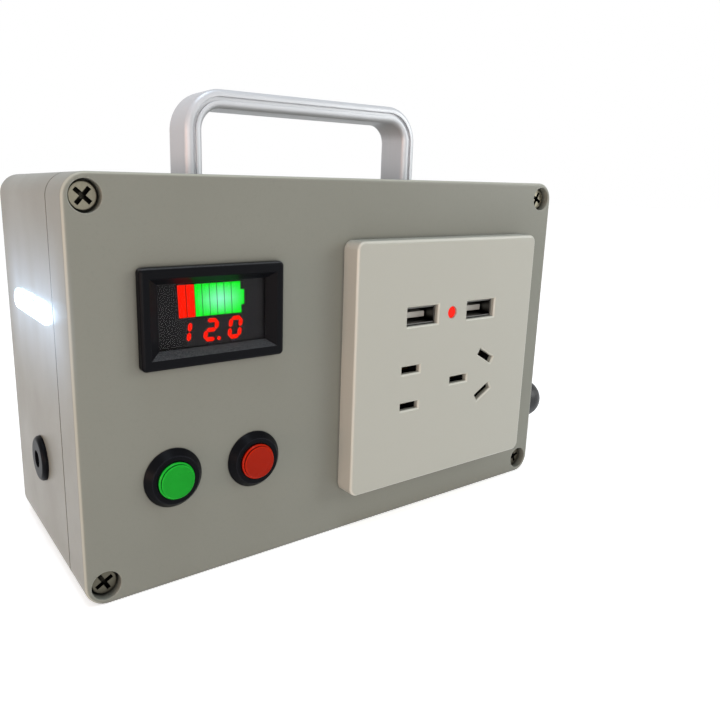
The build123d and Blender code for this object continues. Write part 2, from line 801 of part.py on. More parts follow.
def segment(x, z, length, upright):
    """One pointed bar of a digit, leaning with the digit."""
    half = length / 2
    point = digit_stroke / 2
    outline = [(-half, 0), (-half + point, point), (half - point, point),
               (half, 0), (half - point, -point), (-half + point, -point)]
    if upright:
        outline = [(v, u) for u, v in outline]
    lean = tan(radians(digit_slant))
    placed = [(x + u + (z + v) * lean, z + v) for u, v in outline]
    return placed


def digit(x, lit):
    """The lit bars of one digit whose foot is centred on x; lit is a word of the letters a to g."""
    half_width = (digit_width - digit_stroke) / 2
    half_height = (digit_height - digit_stroke) / 2
    upright = half_height - segment_gap
    flat = 2 * half_width - segment_gap
    middle = digit_height / 2
    places = {
        "a": (0, middle + half_height, flat, False),
        "b": (half_width, middle + half_height / 2, upright, True),
        "c": (half_width, middle - half_height / 2, upright, True),
        "d": (0, middle - half_height, flat, False),
        "e": (-half_width, middle - half_height / 2, upright, True),
        "f": (-half_width, middle + half_height / 2, upright, True),
        "g": (0, middle, flat, False),
    }
    plane = facing(x, digit_y + digit_relief, digit_z)
    return [extrude(plane * polygon(segment(*places[letter])), digit_relief) for letter in lit]


def meter_digits():
    """The lit digits 1, 2, point and 0."""
    bars = digit(digit_one_x, "bc") + digit(digit_two_x, "abged") + digit(digit_nought_x, "abcdef")
    point_x = digit_two_x + digit_width / 2 + point_gap
    point = rod_y(0.55, digit_y, digit_y + digit_relief, point_x, digit_z + 0.6)
    return bars + [point]


def gauge_bar(left, right):
    """One leaning bar of the charge gauge."""
    lean = gauge_slant
    points = [(left - lean / 2, gauge_top), (right - lean / 2, gauge_top),
              (right + lean / 2, gauge_bottom), (left + lean / 2, gauge_bottom)]
    plane = facing(0, digit_y + digit_relief, 0)
    return extrude(plane * polygon(points), digit_relief)


def bar_row(left, right, count):
    """Bars of equal width between left and right."""
    step = (right - left) / count
    return [gauge_bar(left + n * step + gauge_bar_gap / 2, left + (n + 1) * step - gauge_bar_gap / 2)
            for n in range(count)]


def gauge_red_bars():
    """The two red bars at the empty end."""
    return bar_row(gauge_left, gauge_left + gauge_red_width, 2)


def gauge_green_bars():
    """Five green bars, the full end and the tip."""
    end = gauge_right - gauge_end_width
    bars = bar_row(gauge_left + gauge_red_width, end, 5)
    middle = (gauge_bottom + gauge_top) / 2
    y0, y1 = digit_y, digit_y + digit_relief
    last = gauge_bar(end + gauge_bar_gap / 2, gauge_right - gauge_slant)
    last += block(gauge_right - gauge_slant * 2, gauge_right + gauge_tip_width, y0, y1,
                  middle - gauge_tip_height / 2, middle + gauge_tip_height / 2)
    return bars + [last]


# ---------------------------------------------------------------- push buttons
lip_back_y = y_front - button_proud + button_lip_depth
barrel_back_y = y_front + button_barrel_length
block_front_y = barrel_back_y - 6.0
collar_back_y = lip_back_y + button_collar_height
plunger_tip_y = block_front_y + 1.0


def button_bezel(x):
    """The black ring with its threaded barrel."""
    face_y = y_front - button_proud
    profile = [(button_lip_radius, face_y), (button_top_radius, face_y),
               (button_flange_radius - 0.3, y_front - 0.8), (button_flange_radius, y_front - 0.4),
               (button_flange_radius, y_front), (button_barrel_radius, y_front),
               (button_barrel_radius, barrel_back_y), (button_bore_radius, barrel_back_y),
               (button_bore_radius, lip_back_y), (button_lip_radius, lip_back_y)]
    ring = revolve(Plane.XY * polygon(profile), Axis.Y)
    return Pos(x, 0, button_z) * ring


def button_cap(x):
    """The coloured cap with its collar and plunger."""
    face_y = y_front - button_cap_proud
    profile = [(0, face_y), (button_face_radius - 0.25, face_y), (button_face_radius, face_y + 0.25),
               (button_face_radius + 0.1, face_y + button_face_height * 0.6),
               (button_cap_radius, face_y + button_face_height),
               (button_cap_radius, lip_back_y + 0.1), (0, lip_back_y + 0.1)]
    cap = Pos(x, 0, button_z) * revolve(Plane.XY * polygon(profile), Axis.Y)
    cap += rod_y(button_collar_radius, lip_back_y, collar_back_y, x, button_z)
    return cap + rod_y(button_plunger_radius, collar_back_y, plunger_tip_y, x, button_z)


def button_spring(x):
    """The return spring around the plunger, as its outer form when it is pressed together."""
    y0 = collar_back_y + button_travel + 0.1
    ring = rod_y(spring_outer_radius, y0, block_front_y, x, button_z)
    return ring - rod_y(spring_inner_radius, y0 - 1, block_front_y + 1, x, button_z)


def button_switch(x):
    """The switch block in the barrel's rear with two solder tags."""
    y1 = barrel_back_y + switch_block_depth
    half = switch_block_width / 2
    body = rod_y(button_bore_radius - 0.1, block_front_y, barrel_back_y, x, button_z)
    body += block(x - half, x + half, barrel_back_y, y1, button_z - half, button_z + half)
    hole = button_plunger_radius + button_plunger_clearance
    body -= rod_y(hole, block_front_y - 1, plunger_tip_y + button_travel + 0.6, x, button_z)
    for side in (-1, 1):
        body += block(x + side * 4 - 0.4, x + side * 4 + 0.4, y1, y1 + 5, button_z - 1.4, button_z + 1.4)
    return body


def button_nuts():
    """The two nuts that clamp the barrels to the panel."""
    return [hex_nut_y(button_nut_radius, button_barrel_radius, y_front_in, y_front_in + button_nut_height,
                      x, button_z) for x in (green_button_x, red_button_x)]


# ---------------------------------------------------------------- side lamp
lamp_board_x = x_left_in + lamp_flange_thickness


def lamp_bosses():
    """Two small bosses on the left wall for the lamp board's screws."""
    bosses = [rod_x(2.5, x_left_in - 0.5, lamp_board_x, 0, lamp_z + side * lamp_screw_spacing / 2)
              - rod_x(0.95, x_left_in - 0.4, lamp_board_x + 1, 0, lamp_z + side * lamp_screw_spacing / 2)
              for side in (-1, 1)]
    return bosses[0] + bosses[1]


def lamp_lens():
    """The clear cover of the side lamp, with its flange inside the wall."""
    length = lamp_length - 2 * lamp_clearance
    height = lamp_height - 2 * lamp_clearance
    radius = height / 2 - 0.01
    lens = slab_x(length, height, radius, x_left - lamp_proud, x_left_in, 0, lamp_z)
    lens = fillet(lens.faces().sort_by(Axis.X)[0].edges(), 0.7)
    lens += slab_x(length + 2 * lamp_flange, height + 2 * lamp_flange, 1.0, x_left_in, lamp_board_x, 0, lamp_z)
    hollow_height = height - 2 * lamp_skin
    return lens - slab_x(length - 2 * lamp_skin, hollow_height, hollow_height / 2 - 0.01,
                         x_left - lamp_proud + lamp_skin, lamp_board_x + 1, 0, lamp_z)


def lamp_leds():
    """Three white light-emitting diodes with domed ends."""
    tip = x_left - lamp_proud + lamp_skin + 0.1
    dome_x = tip + lamp_led_radius
    return [rod_x(lamp_led_radius, dome_x, lamp_board_x, n * lamp_led_pitch, lamp_z)
            + Pos(dome_x, n * lamp_led_pitch, lamp_z) * Sphere(lamp_led_radius) for n in (-1, 0, 1)]


def lamp_board():
    """The board that carries the diodes."""
    width = lamp_length + 2 * lamp_flange
    board = block(lamp_board_x, lamp_board_x + board_thickness, -width / 2, width / 2,
                  lamp_z - lamp_board_height / 2, lamp_z + lamp_board_height / 2)
    for side in (-1, 1):
        z = lamp_z + side * lamp_screw_spacing / 2
        board -= rod_x(1.1, lamp_board_x - 1, lamp_board_x + board_thickness + 1, 0, z)
    return board


def lamp_screws():
    """Two small screws that hold the lamp board."""
    seat = lamp_board_x + board_thickness
    screw = Rot(0, 0, 90) * pan_screw(1.9, 1.3, 0.9, board_thickness + 1.4)
    return [Pos(seat, 0, lamp_z + side * lamp_screw_spacing / 2) * screw for side in (-1, 1)]


# ---------------------------------------------------------------- power inlet
def dc_jack_shell():
    """The round inlet with its flange, barrel and plug bore."""
    x0 = x_left - jack_flange_proud
    flange = rod_x(jack_flange_radius, x0, x_left, jack_y, jack_z)
    flange = fillet(flange.faces().sort_by(Axis.X)[0].edges(), jack_flange_round)
    shell = flange + rod_x(jack_barrel_radius, x_left, x_left + jack_barrel_length, jack_y, jack_z)
    return shell - rod_x(jack_bore_radius, x0 - 1, x0 + jack_bore_depth, jack_y, jack_z)


def dc_jack_pin():
    """The centre pin."""
    x0 = x_left - jack_flange_proud
    pin = rod_x(jack_pin_radius, x0 + jack_pin_setback, x0 + jack_bore_depth, jack_y, jack_z)
    return fillet(pin.faces().sort_by(Axis.X)[0].edges(), 0.4)


def dc_jack_nut():
    """The nut inside the wall."""
    plane = Plane(origin=(x_left_in, jack_y, jack_z), x_dir=(0, 1, 0), z_dir=(1, 0, 0))
    nut = extrude(plane * RegularPolygon(jack_nut_radius, 6), jack_nut_height)
    return nut - rod_x(jack_barrel_radius, x_left_in - 1, x_left_in + jack_nut_height + 1, jack_y, jack_z)


def dc_jack_terminals():
    """Two solder tags on the inlet's rear."""
    x0 = x_left + jack_barrel_length
    return [block(x0, x0 + jack_tag_length, jack_y + side * 3 - 1.2, jack_y + side * 3 + 1.2,
                  jack_z - 0.3, jack_z + 0.3)
            for side in (-1, 1)]


# ---------------------------------------------------------------- gearbox and crank
def gearbox_plate(x0, x1):
    """One side plate with the holes that both plates share."""
    plate = slab_x(plate_y1 - plate_y0, plate_z1 - plate_z0, gearbox_plate_corner, x0, x1,
                   (plate_y0 + plate_y1) / 2, (plate_z0 + plate_z1) / 2)
    for y, z in pillars:
        plate -= rod_x(m3_clear_radius, x0 - 1, x1 + 1, y, z)
    return plate - rod_x(idler_axle_radius, x0 - 1, x1 + 1, idler_y, idler_z)


def gearbox_outer_plate():
    """The plate on the right wall."""
    return gearbox_plate(outer_plate_x, gearbox_x1) - rod_x(
        wall_bush_radius, outer_plate_x - 1, gearbox_x1 + 1, 0, crank_z)


def gearbox_inner_plate():
    """The plate that carries the generator."""
    plate = gearbox_plate(inner_plate_x0, inner_plate_x1)
    plate -= rod_x(wall_bush_radius, inner_plate_x0 - 1, inner_plate_x1 + 1, 0, crank_z)
    plate -= rod_x(generator_boss_radius + 0.1, inner_plate_x0 - 1, inner_plate_x1 + 1, rotor_y, rotor_z)
    for side in (-1, 1):
        plate -= rod_x(m3_clear_radius, inner_plate_x0 - 1, inner_plate_x1 + 1,
                       rotor_y, rotor_z + side * generator_screw_spacing / 2)
    return plate


def gearbox_pillars():
    """Four tapped pillars between the plates."""
    return [rod_x(pillar_radius, inner_plate_x1, outer_plate_x, y, z)
            - rod_x(m3_tapped_radius, inner_plate_x1 - 1, outer_plate_x + 1, y, z) for y, z in pillars]


def screw_towards_left(seat_x, y, z, length):
    """A small screw driven towards -X, its head to the right of seat_x."""
    return Pos(seat_x, y, z) * Rot(0, 0, 90) * pan_screw(m3_head_radius, m3_head_height, m3_radius, length, 45)


def gearbox_screws():
    """Four screws through the right wall into the pillars."""
    return [screw_towards_left(x_right, y, z, wall + outer_plate_thickness + 6) for y, z in pillars]


def gearbox_plate_screws():
    """Four screws through the inner plate into the pillars."""
    screw = Rot(0, 0, -90) * pan_screw(m3_head_radius, m3_head_height, m3_radius, inner_plate_thickness + 6, 10)
    return [Pos(inner_plate_x0, y, z) * screw for y, z in pillars]


def wall_bush():
    """The flanged bronze bush that carries the crank shaft in the wall."""
    bush = rod_x(wall_bush_radius, outer_plate_x, x_right, 0, crank_z)
    bush += rod_x(bush_flange_radius, x_right, bush_end_x, 0, crank_z)
    return bush - rod_x(shaft_radius + running_clearance, outer_plate_x - 1, bush_end_x + 1, 0, crank_z)


def inner_bush():
    """The bush that carries the shaft's inner end."""
    x1 = inner_plate_x1 + 0.8
    bush = rod_x(wall_bush_radius, inner_plate_x0, inner_plate_x1, 0, crank_z)
    bush += rod_x(wall_bush_radius + 1, inner_plate_x1, x1, 0, crank_z)
    return bush - rod_x(shaft_radius + running_clearance, inner_plate_x0 - 1, x1 + 1, 0, crank_z)


def crank_shaft():
    """The crank's shaft, from the inner bush to the arm."""
    shaft = rod_x(shaft_radius, inner_plate_x0 + 0.3, arm_x1, 0, crank_z)
    return shaft - rod_x(m4_tapped_radius, arm_x1 - 9, arm_x1 + 1, 0, crank_z)


def drive_gear():
    """The large gear on the crank shaft, with its hub."""
    x0 = inner_plate_x1 + 0.8 + end_play
    x1 = outer_plate_x - end_play
    hub = rod_x(gear_hub_radius, x0, x1, 0, crank_z)
    wheel = gear(drive_teeth, 0.0, drive_gear_x, drive_gear_x + drive_gear_width, 0, crank_z)
    holes = [rod_x(3.6, drive_gear_x - 1, drive_gear_x + drive_gear_width + 1,
                   14.5 * cos(n * pi / 3), crank_z + 14.5 * sin(n * pi / 3)) for n in range(6)]
    for hole in holes:
        wheel -= hole
    return hub + wheel - rod_x(shaft_radius, x0 - 1, x1 + 1, 0, crank_z)


def idler_gear():
    """The compound gear: a wheel and a pinion in one piece."""
    x1 = outer_plate_x - end_play
    wheel = gear(idler_wheel_teeth, idler_phase, idler_wheel_x, idler_pinion_x0, idler_y, idler_z)
    pinion = gear(idler_pinion_teeth, idler_phase, idler_pinion_x0, x1, idler_y, idler_z)
    hub = rod_x(4.0, inner_plate_x1 + end_play, idler_wheel_x, idler_y, idler_z)
    bore = rod_x(idler_axle_radius + running_clearance, inner_plate_x1 - 1, x1 + 1, idler_y, idler_z)
    return wheel + pinion + hub - bore


def idler_axle():
    """The fixed steel axle between the plates."""
    return rod_x(idler_axle_radius, inner_plate_x0, gearbox_x1, idler_y, idler_z)


def crank_arm():
    """The flat arm with its hub, hanging down at rest."""
    plane = Plane(origin=(arm_x0, 0, crank_z), x_dir=(0, 1, 0), z_dir=(1, 0, 0))
    lean = asin((arm_hub_radius - arm_end_radius) / crank_throw)
    hub_y, hub_z = arm_hub_radius * cos(lean), -arm_hub_radius * sin(lean)
    end_y, end_z = arm_end_radius * cos(lean), -crank_throw - arm_end_radius * sin(lean)
    web = extrude(plane * polygon([(-hub_y, hub_z), (hub_y, hub_z), (end_y, end_z), (-end_y, end_z)]),
                  arm_thickness)
    arm = web + rod_x(arm_hub_radius, hub_x0, arm_x1, 0, crank_z)
    arm += rod_x(arm_end_radius, arm_x0, arm_x1, 0, grip_z)
    arm -= rod_x(shaft_radius, hub_x0 - 1, arm_x1 + 1, 0, crank_z)
    return arm - rod_x(grip_pin_radius, arm_x0 - 1, arm_x1 + 1, 0, grip_z)


def crank_screw():
    """The flanged screw that holds the arm on the shaft."""
    screw = pan_screw(m4_head_radius, m4_head_height, m4_radius, 8, 25)
    screw += rod_y(crank_screw_flange_radius, -0.8, 0, 0, 0)
    return Pos(arm_x1, 0, crank_z) * Rot(0, 0, 90) * screw


def grip_pin():
    """The shouldered pin that the grip turns on."""
    pin = rod_x(grip_pin_radius, arm_x0, grip_well_x + 0.1, 0, grip_z)
    pin += rod_x(grip_pin_radius + 1.5, arm_x1, arm_x1 + grip_gap - 0.2, 0, grip_z)
    return pin + rod_x(grip_pin_head_radius, grip_well_x + 0.1,
                       grip_well_x + 0.1 + grip_pin_head_height, 0, grip_z)


def crank_grip():
    """The turning grip, a little thinner at the arm."""
    length = grip_dome_x - grip_x0
    profile = [(0, 0), (grip_root_radius - 1.0, 0), (grip_root_radius, 1.0),
               (grip_root_radius + 0.6, length * 0.3), (grip_radius - 0.15, length * 0.7),
               (grip_radius, length), (0, length)]
    grip = revolve(Plane.XZ * polygon(profile), Axis.Z)
    grip = Pos(grip_x0, 0, grip_z) * Rot(0, 90, 0) * grip
    grip -= rod_x(grip_pin_radius + running_clearance, grip_x0 - 1, grip_dome_x + 1, 0, grip_z)
    return grip - rod_x(grip_well_radius, grip_well_x, grip_dome_x + 1, 0, grip_z)


def grip_cap():
    """The domed end of the grip."""
    dome = Pos(grip_dome_x, 0, grip_z) * Sphere(grip_radius)
    dome &= block(grip_dome_x, grip_end_x + 1, -grip_radius - 1, grip_radius + 1,
                  grip_z - grip_radius - 1, grip_z + grip_radius + 1)
    return dome + rod_x(grip_well_radius, grip_dome_x - 2.9, grip_dome_x, 0, grip_z)


# ---------------------------------------------------------------- generator
def generator_can():
    """The steel can with the boss that locates it in the plate."""
    can = rod_x(generator_radius, can_x0, can_x1, rotor_y, rotor_z)
    can -= rod_x(generator_radius - generator_can_wall, can_x0 - 1, can_x1 - generator_can_wall,
                 rotor_y, rotor_z)
    can += rod_x(generator_boss_radius, can_x1, can_x1 + 2, rotor_y, rotor_z)
    can -= rod_x(3.0, can_x1 - 3, can_x1 + 3, rotor_y, rotor_z)
    for side in (-1, 1):
        can -= rod_x(m3_tapped_radius, can_x1 - 3, can_x1 + 1,
                     rotor_y, rotor_z + side * generator_screw_spacing / 2)
    return can


def generator_end_cap():
    """The plastic end cap with its brush holders and terminals."""
    x0 = can_x0 - end_cap_thickness
    cap = rod_x(generator_radius - 0.5, x0, can_x0, rotor_y, rotor_z)
    cap += rod_x(generator_radius - generator_can_wall - 0.1, can_x0, can_x0 + 2, rotor_y, rotor_z)
    cap -= rod_x(commutator_radius + 1, can_x0, can_x0 + 3, rotor_y, rotor_z)
    cap -= rod_x(3.0, x0 - 1, can_x0 + 1, rotor_y, rotor_z)
    for side in (-1, 1):
        cap += block(x0 - 4, x0, rotor_y + side * 10 - 0.3, rotor_y + side * 10 + 0.3,
                     rotor_z - 1.5, rotor_z + 1.5)
    return cap


def generator_magnets():
    """Two curved magnets inside the can."""
    x0, x1 = can_x0 + 12, can_x0 + 12 + armature_length
    ring = rod_x(generator_radius - generator_can_wall, x0, x1, rotor_y, rotor_z)
    ring -= rod_x(magnet_inner_radius, x0 - 1, x1 + 1, rotor_y, rotor_z)
    reach = generator_radius + 1
    return [ring & block(x0 - 1, x1 + 1, rotor_y - reach, rotor_y + reach, rotor_z + low, rotor_z + high)
            for low, high in ((4.0, reach), (-reach, -4.0))]


def generator_rotor():
    """The wound armature, its commutator and the shaft that they turn on."""
    x0 = can_x0 + 12
    shaft = rod_x(generator_shaft_radius, can_x0 - end_cap_thickness + 0.5, idler_pinion_x0 + 1.0,
                  rotor_y, rotor_z)
    core = rod_x(armature_radius, x0, x0 + armature_length, rotor_y, rotor_z)
    for n in range(5):
        angle = n * 2 * pi / 5 + 0.3
        core -= Pos(0, rotor_y, rotor_z) * Rot(degrees(angle), 0, 0) * block(
            x0 - 1, x0 + armature_length + 1, armature_radius - 2.5, armature_radius + 1, -1.2, 1.2)
    commutator = rod_x(commutator_radius, x0 - 8, x0 - 8 + commutator_length, rotor_y, rotor_z)
    return shaft + core + commutator + rod_x(3.0, x0 - 2.5, x0, rotor_y, rotor_z)


def generator_brushes():
    """Two carbon brushes on the commutator."""
    x0 = can_x0 + 2
    far = generator_radius - generator_can_wall - 0.6
    near = commutator_radius + 0.3
    return [block(x0, x0 + 6, rotor_y + low, rotor_y + high, rotor_z - 2, rotor_z + 2)
            for low, high in ((near, far), (-far, -near))]


def generator_bushes():
    """The front and rear bushes of the generator shaft."""
    bore = generator_shaft_radius + running_clearance
    bushes = []
    for x0, x1 in ((can_x0 - end_cap_thickness, can_x0), (can_x1 - generator_can_wall, can_x1 + 2)):
        bushes.append(rod_x(3.0, x0, x1, rotor_y, rotor_z) - rod_x(bore, x0 - 1, x1 + 1, rotor_y, rotor_z))
    return bushes


def generator_pinion():
    """The small brass pinion on the generator shaft."""
    pinion = gear(rotor_pinion_teeth, rotor_phase, inner_plate_x1 + 0.8, idler_pinion_x0 + 0.5,
                  rotor_y, rotor_z)
    return pinion - rod_x(generator_shaft_radius, inner_plate_x1, idler_pinion_x0 + 2, rotor_y, rotor_z)


def generator_screws():
    """Two screws that hold the generator to the plate."""
    return [Pos(inner_plate_x1, rotor_y, rotor_z + side * generator_screw_spacing / 2) * Rot(0, 0, 90)
            * pan_screw(m3_head_radius - 0.3, m3_head_height, m3_radius, inner_plate_thickness + 1.2, 45)
            for side in (-1, 1)]


# ---------------------------------------------------------------- battery
tray_top = wall + holder_tray
link_x0 = battery_x + holder_end
cell_x0 = link_x0 + link_thickness
cell_x1 = cell_x0 + cell_length
holder_x1 = cell_x1 + link_thickness + holder_end
cell_rows_z = [tray_top + cell_floor_gap + cell_radius + n * cell_pitch for n in range(cell_rows)]
cell_columns_y = [y_back_in - cell_back_gap - cell_radius - n * cell_pitch for n in range(cell_columns)]
holder_y0 = cell_columns_y[-1] - cell_radius - 1.5
holder_z1 = cell_rows_z[-1] + cell_radius + 1.5
link_tab_z = holder_z1 + 3.0
tab_y = sum(cell_columns_y) / len(cell_columns_y)


def battery_cells():
    """Six lithium cells, each with its raised positive end."""
    cells = []
    for z in cell_rows_z:
        for y in cell_columns_y:
            body = rod_x(cell_radius, cell_x0 + 0.8, cell_x1, y, z)
            cells.append(body + rod_x(3.0, cell_x0, cell_x0 + 0.8, y, z))
    return cells


def battery_holder():
    """The tray with an end plate at each end of the cells."""
    holder = block(battery_x, holder_x1, holder_y0, y_back_in, wall, tray_top)
    for x0 in (battery_x, holder_x1 - holder_end):
        holder += block(x0, x0 + holder_end, holder_y0, y_back_in, wall, holder_z1)
    return holder


def cell_links():
    """Nickel strips that join each row's cells."""
    links = []
    for z in cell_rows_z:
        for x0 in (link_x0, cell_x1):
            links.append(block(x0, x0 + link_thickness, cell_columns_y[-1] - 4, cell_columns_y[0] + 4,
                               z - link_width / 2, z + link_width / 2))
    for n in (-2, -1):
        links[n] += block(links[n].bounding_box().min.X, links[n].bounding_box().max.X,
                          tab_y - 4, tab_y + 4, cell_rows_z[-1], link_tab_z)
    return links


# ---------------------------------------------------------------- inverter and charger
charge_board_z = holder_z1 + charge_board_gap
charge_board_y = y_back_in - charge_board_gap_back       # its back
inverter_x = holder_x1 + inverter_side_gap
inverter_length = inner_plate_x0 - inverter_end_gap - inverter_x
inverter_y = y_split + inverter_front_gap
inverter_depth = y_back_in - inverter_back_gap - inverter_y
board_z = wall + standoff_height
board_top = board_z + board_thickness


def inverter_screw_places():
    """The four corners of the inverter board's screws."""
    return [(x, y) for x in (inverter_x + board_screw_inset, inverter_x + inverter_length - board_screw_inset)
            for y in (inverter_y + board_screw_inset, inverter_y + inverter_depth - board_screw_inset)]


def inverter_standoffs():
    """Four posts on the floor."""
    places = inverter_screw_places()
    posts = [rod_z(standoff_radius, wall - 0.5, board_z, x, y)
             - rod_z(m3_tapped_radius, wall + 0.5, board_z + 1, x, y) for x, y in places]
    return posts[0] + posts[1] + posts[2] + posts[3]


def inverter_board():
    """The board that makes mains voltage, with its soldered capacitors and transistors."""
    board = block(inverter_x, inverter_x + inverter_length, inverter_y, inverter_y + inverter_depth,
                  board_z, board_top)
    for x, y in inverter_screw_places():
        board -= rod_z(m3_clear_radius, board_z - 1, board_top + 1, x, y)
    x = inverter_x + capacitor_radius + 0.5
    for y in (inverter_y + 13, inverter_y + 28):
        can = rod_z(capacitor_radius, board_top, board_top + capacitor_height, x, y)
        board += fillet(can.faces().sort_by(Axis.Z)[-1].edges(), 0.8)
    x0 = inverter_x + inverter_length - heat_sink_size[0]
    y1 = inverter_y + heat_sink_y
    for n in range(4):
        board += block(x0 + 0.5 + n * 5.5, x0 + 5.0 + n * 5.5, y1 - 4.5, y1, board_top, board_top + 12)
    return board


def transformer_core():
    """The ferrite core, open on two sides."""
    width, depth, height = transformer_size
    x0 = inverter_x + transformer_place[0]
    y0 = inverter_y + transformer_place[1]
    core = block(x0, x0 + width, y0 + 4, y0 + depth - 4, board_top, board_top + height)
    window = block(x0 + 6, x0 + width - 6, y0 - 1, y0 + depth + 1, board_top + 6, board_top + height - 6)
    return core - window + block(x0 + width / 2 - 5, x0 + width / 2 + 5, y0 + 4, y0 + depth - 4,
                                 board_top + 5, board_top + height - 5)


def transformer_winding():
    """The wound bobbin around the core's middle leg."""
    width, depth, height = transformer_size
    x0 = inverter_x + transformer_place[0]
    y0 = inverter_y + transformer_place[1]
    coil = block(x0 + 6.2, x0 + width - 6.2, y0, y0 + depth, board_top + 6.2, board_top + height - 6.2)
    return coil - block(x0 + width / 2 - 5.1, x0 + width / 2 + 5.1, y0 + 3.9, y0 + depth - 3.9,
                        board_top + 5, board_top + height - 5)


def heat_sink():
    """The finned aluminium block that cools the switching transistors."""
    width, depth, height = heat_sink_size
    x0 = inverter_x + inverter_length - width
    y0 = inverter_y + heat_sink_y
    sink = block(x0, x0 + width, y0, y0 + depth, board_top, board_top + heat_sink_base)
    step = (width - fin_thickness) / (heat_sink_fins - 1)
    for n in range(heat_sink_fins):
        left = x0 + n * step
        sink += block(left, left + fin_thickness, y0, y0 + depth, board_top, board_top + height)
    return sink


def charge_screw_places():
    """The charge board's two screws."""
    width, height = charge_board_size
    z = charge_board_z + height / 2
    return [(charge_board_x + charge_screw_inset, z), (charge_board_x + width - charge_screw_inset, z)]


def charge_standoffs():
    """Two posts on the back wall for the charge board."""
    posts = [rod_y(standoff_radius, charge_board_y, y_back_in + 0.5, x, z)
             - rod_y(m3_tapped_radius, charge_board_y - 1, y_back_in, x, z) for x, z in charge_screw_places()]
    return posts[0] + posts[1]


def charge_board():
    """The board that charges the cells, with its coil and chips."""
    width, height = charge_board_size
    y0 = charge_board_y - board_thickness
    board = block(charge_board_x, charge_board_x + width, y0, charge_board_y,
                  charge_board_z, charge_board_z + height)
    half = charge_coil_size / 2
    x, z = charge_board_x + width * 0.36, charge_board_z + height / 2
    board += block(x - half, x + half, y0 - charge_coil_height, y0, z - half, z + half)
    chip_width, chip_height, chip_thickness = charge_chip_size
    x, z = charge_board_x + width * 0.64, charge_board_z + height / 3
    board += block(x - chip_width / 2, x + chip_width / 2, y0 - chip_thickness, y0,
                   z - chip_height / 2, z + chip_height / 2)
    for x, z in charge_screw_places():
        board -= rod_y(m3_clear_radius, y0 - 1, charge_board_y + 1, x, z)
    return board


def board_screws():
    """The screws that hold the inverter board and the charge board."""
    down = Rot(-90, 0, 0) * pan_screw(m3_head_radius, m3_head_height, m3_radius, board_thickness + 3.5)
    back = pan_screw(m3_head_radius, m3_head_height, m3_radius, board_thickness + 2.4)
    screws = [Pos(x, y, board_top) * down for x, y in inverter_screw_places()]
    return screws + [Pos(x, charge_board_y - board_thickness, z) * back for x, z in charge_screw_places()]


# ---------------------------------------------------------------- wiring
def wire(*points):
    """A round wire through these points, with its corners bent."""
    path = Line(*points) if len(points) == 2 else FilletPolyline(*points, radius=wire_bend)
    return sweep(Plane(origin=path @ 0, z_dir=path % 0) * Circle(wire_radius), path=path)


def generator_wires():
    """The two leads from the generator's tags to the charge board."""
    x0 = can_x0 - end_cap_thickness - 4
    y1 = charge_board_y - board_thickness / 2
    end = charge_board_x + charge_board_size[0]
    leads = []
    for side, x, z in ((1, holder_x1 + 3.4, charge_board_z + 6), (-1, holder_x1 + 5.4, charge_board_z + 10)):
        y = rotor_y + side * 10
        leads.append(wire((x0, y, rotor_z), (x, y, rotor_z), (x, y, z), (x, y1, z), (end, y1, z)))
    return leads


def battery_wires():
    """The battery's leads to the charge board, and one down to the inverter board."""
    y0 = charge_board_y - board_thickness
    z = link_tab_z - wire_radius
    z1 = charge_board_z + 2.2
    first, last = cell_x0 + 16, cell_x1 - 26
    return [wire((cell_x0, tab_y, z), (first, tab_y, z), (first, tab_y, z1), (first, y0, z1)),
            wire((cell_x1, tab_y, z), (last, tab_y, z), (last, tab_y, z1), (last, y0, z1)),
            wire((cell_x1 + link_thickness, tab_y + 3, z), (inverter_x + 1.6, tab_y + 3, z),
                 (inverter_x + 1.6, tab_y + 3, board_top))]


def side_wires():
    """The leads from the power inlet and from the lamp to the charge board."""
    y1 = charge_board_y - board_thickness / 2
    x0 = x_left + jack_barrel_length + jack_tag_length / 2
    leads = []
    for side, z in ((1, charge_board_z + 26), (-1, charge_board_z + 22)):
        y = jack_y + side * 3
        leads.append(wire((x0, y, jack_z + 0.3), (x0, y, z), (x0, y1, z), (charge_board_x, y1, z)))
    for z in (lamp_z - 7.5, lamp_z - 3.5):
        board_x = lamp_board_x + board_thickness
        leads.append(wire((board_x, 12, z), (board_x + 4, 12, z), (board_x + 4, y1, z), (charge_board_x, y1, z)))
    return leads


def front_wires():
    """The leads from the inverter board to the socket and to both switches."""
    low = plate_z - socket_body_height / 2 + 8
    leads = [wire((plate_x + x, body_back_y + 2.5, board_top), (plate_x + x, body_back_y + 2.5, low + 3.2))
             for x in (-16.0, 0.0, 16.0)]
    y = barrel_back_y + switch_block_depth + 2.5
    column = inverter_x + transformer_place[0] + 0.4
    top = button_z + 1.4
    leads.append(wire((green_button_x + 4, y, top), (green_button_x + 4, y, top + 10.6),
                      (column, y, top + 10.6), (column, y, board_top)))
    leads.append(wire((red_button_x + 4, y, top), (red_button_x + 4, y, top + 14.6),
                      (column, y, top + 14.6), (column, y - 5, top + 14.6), (column, y - 5, board_top)))
    return leads


# ---------------------------------------------------------------- write every piece
os.makedirs("parts", exist_ok=True)

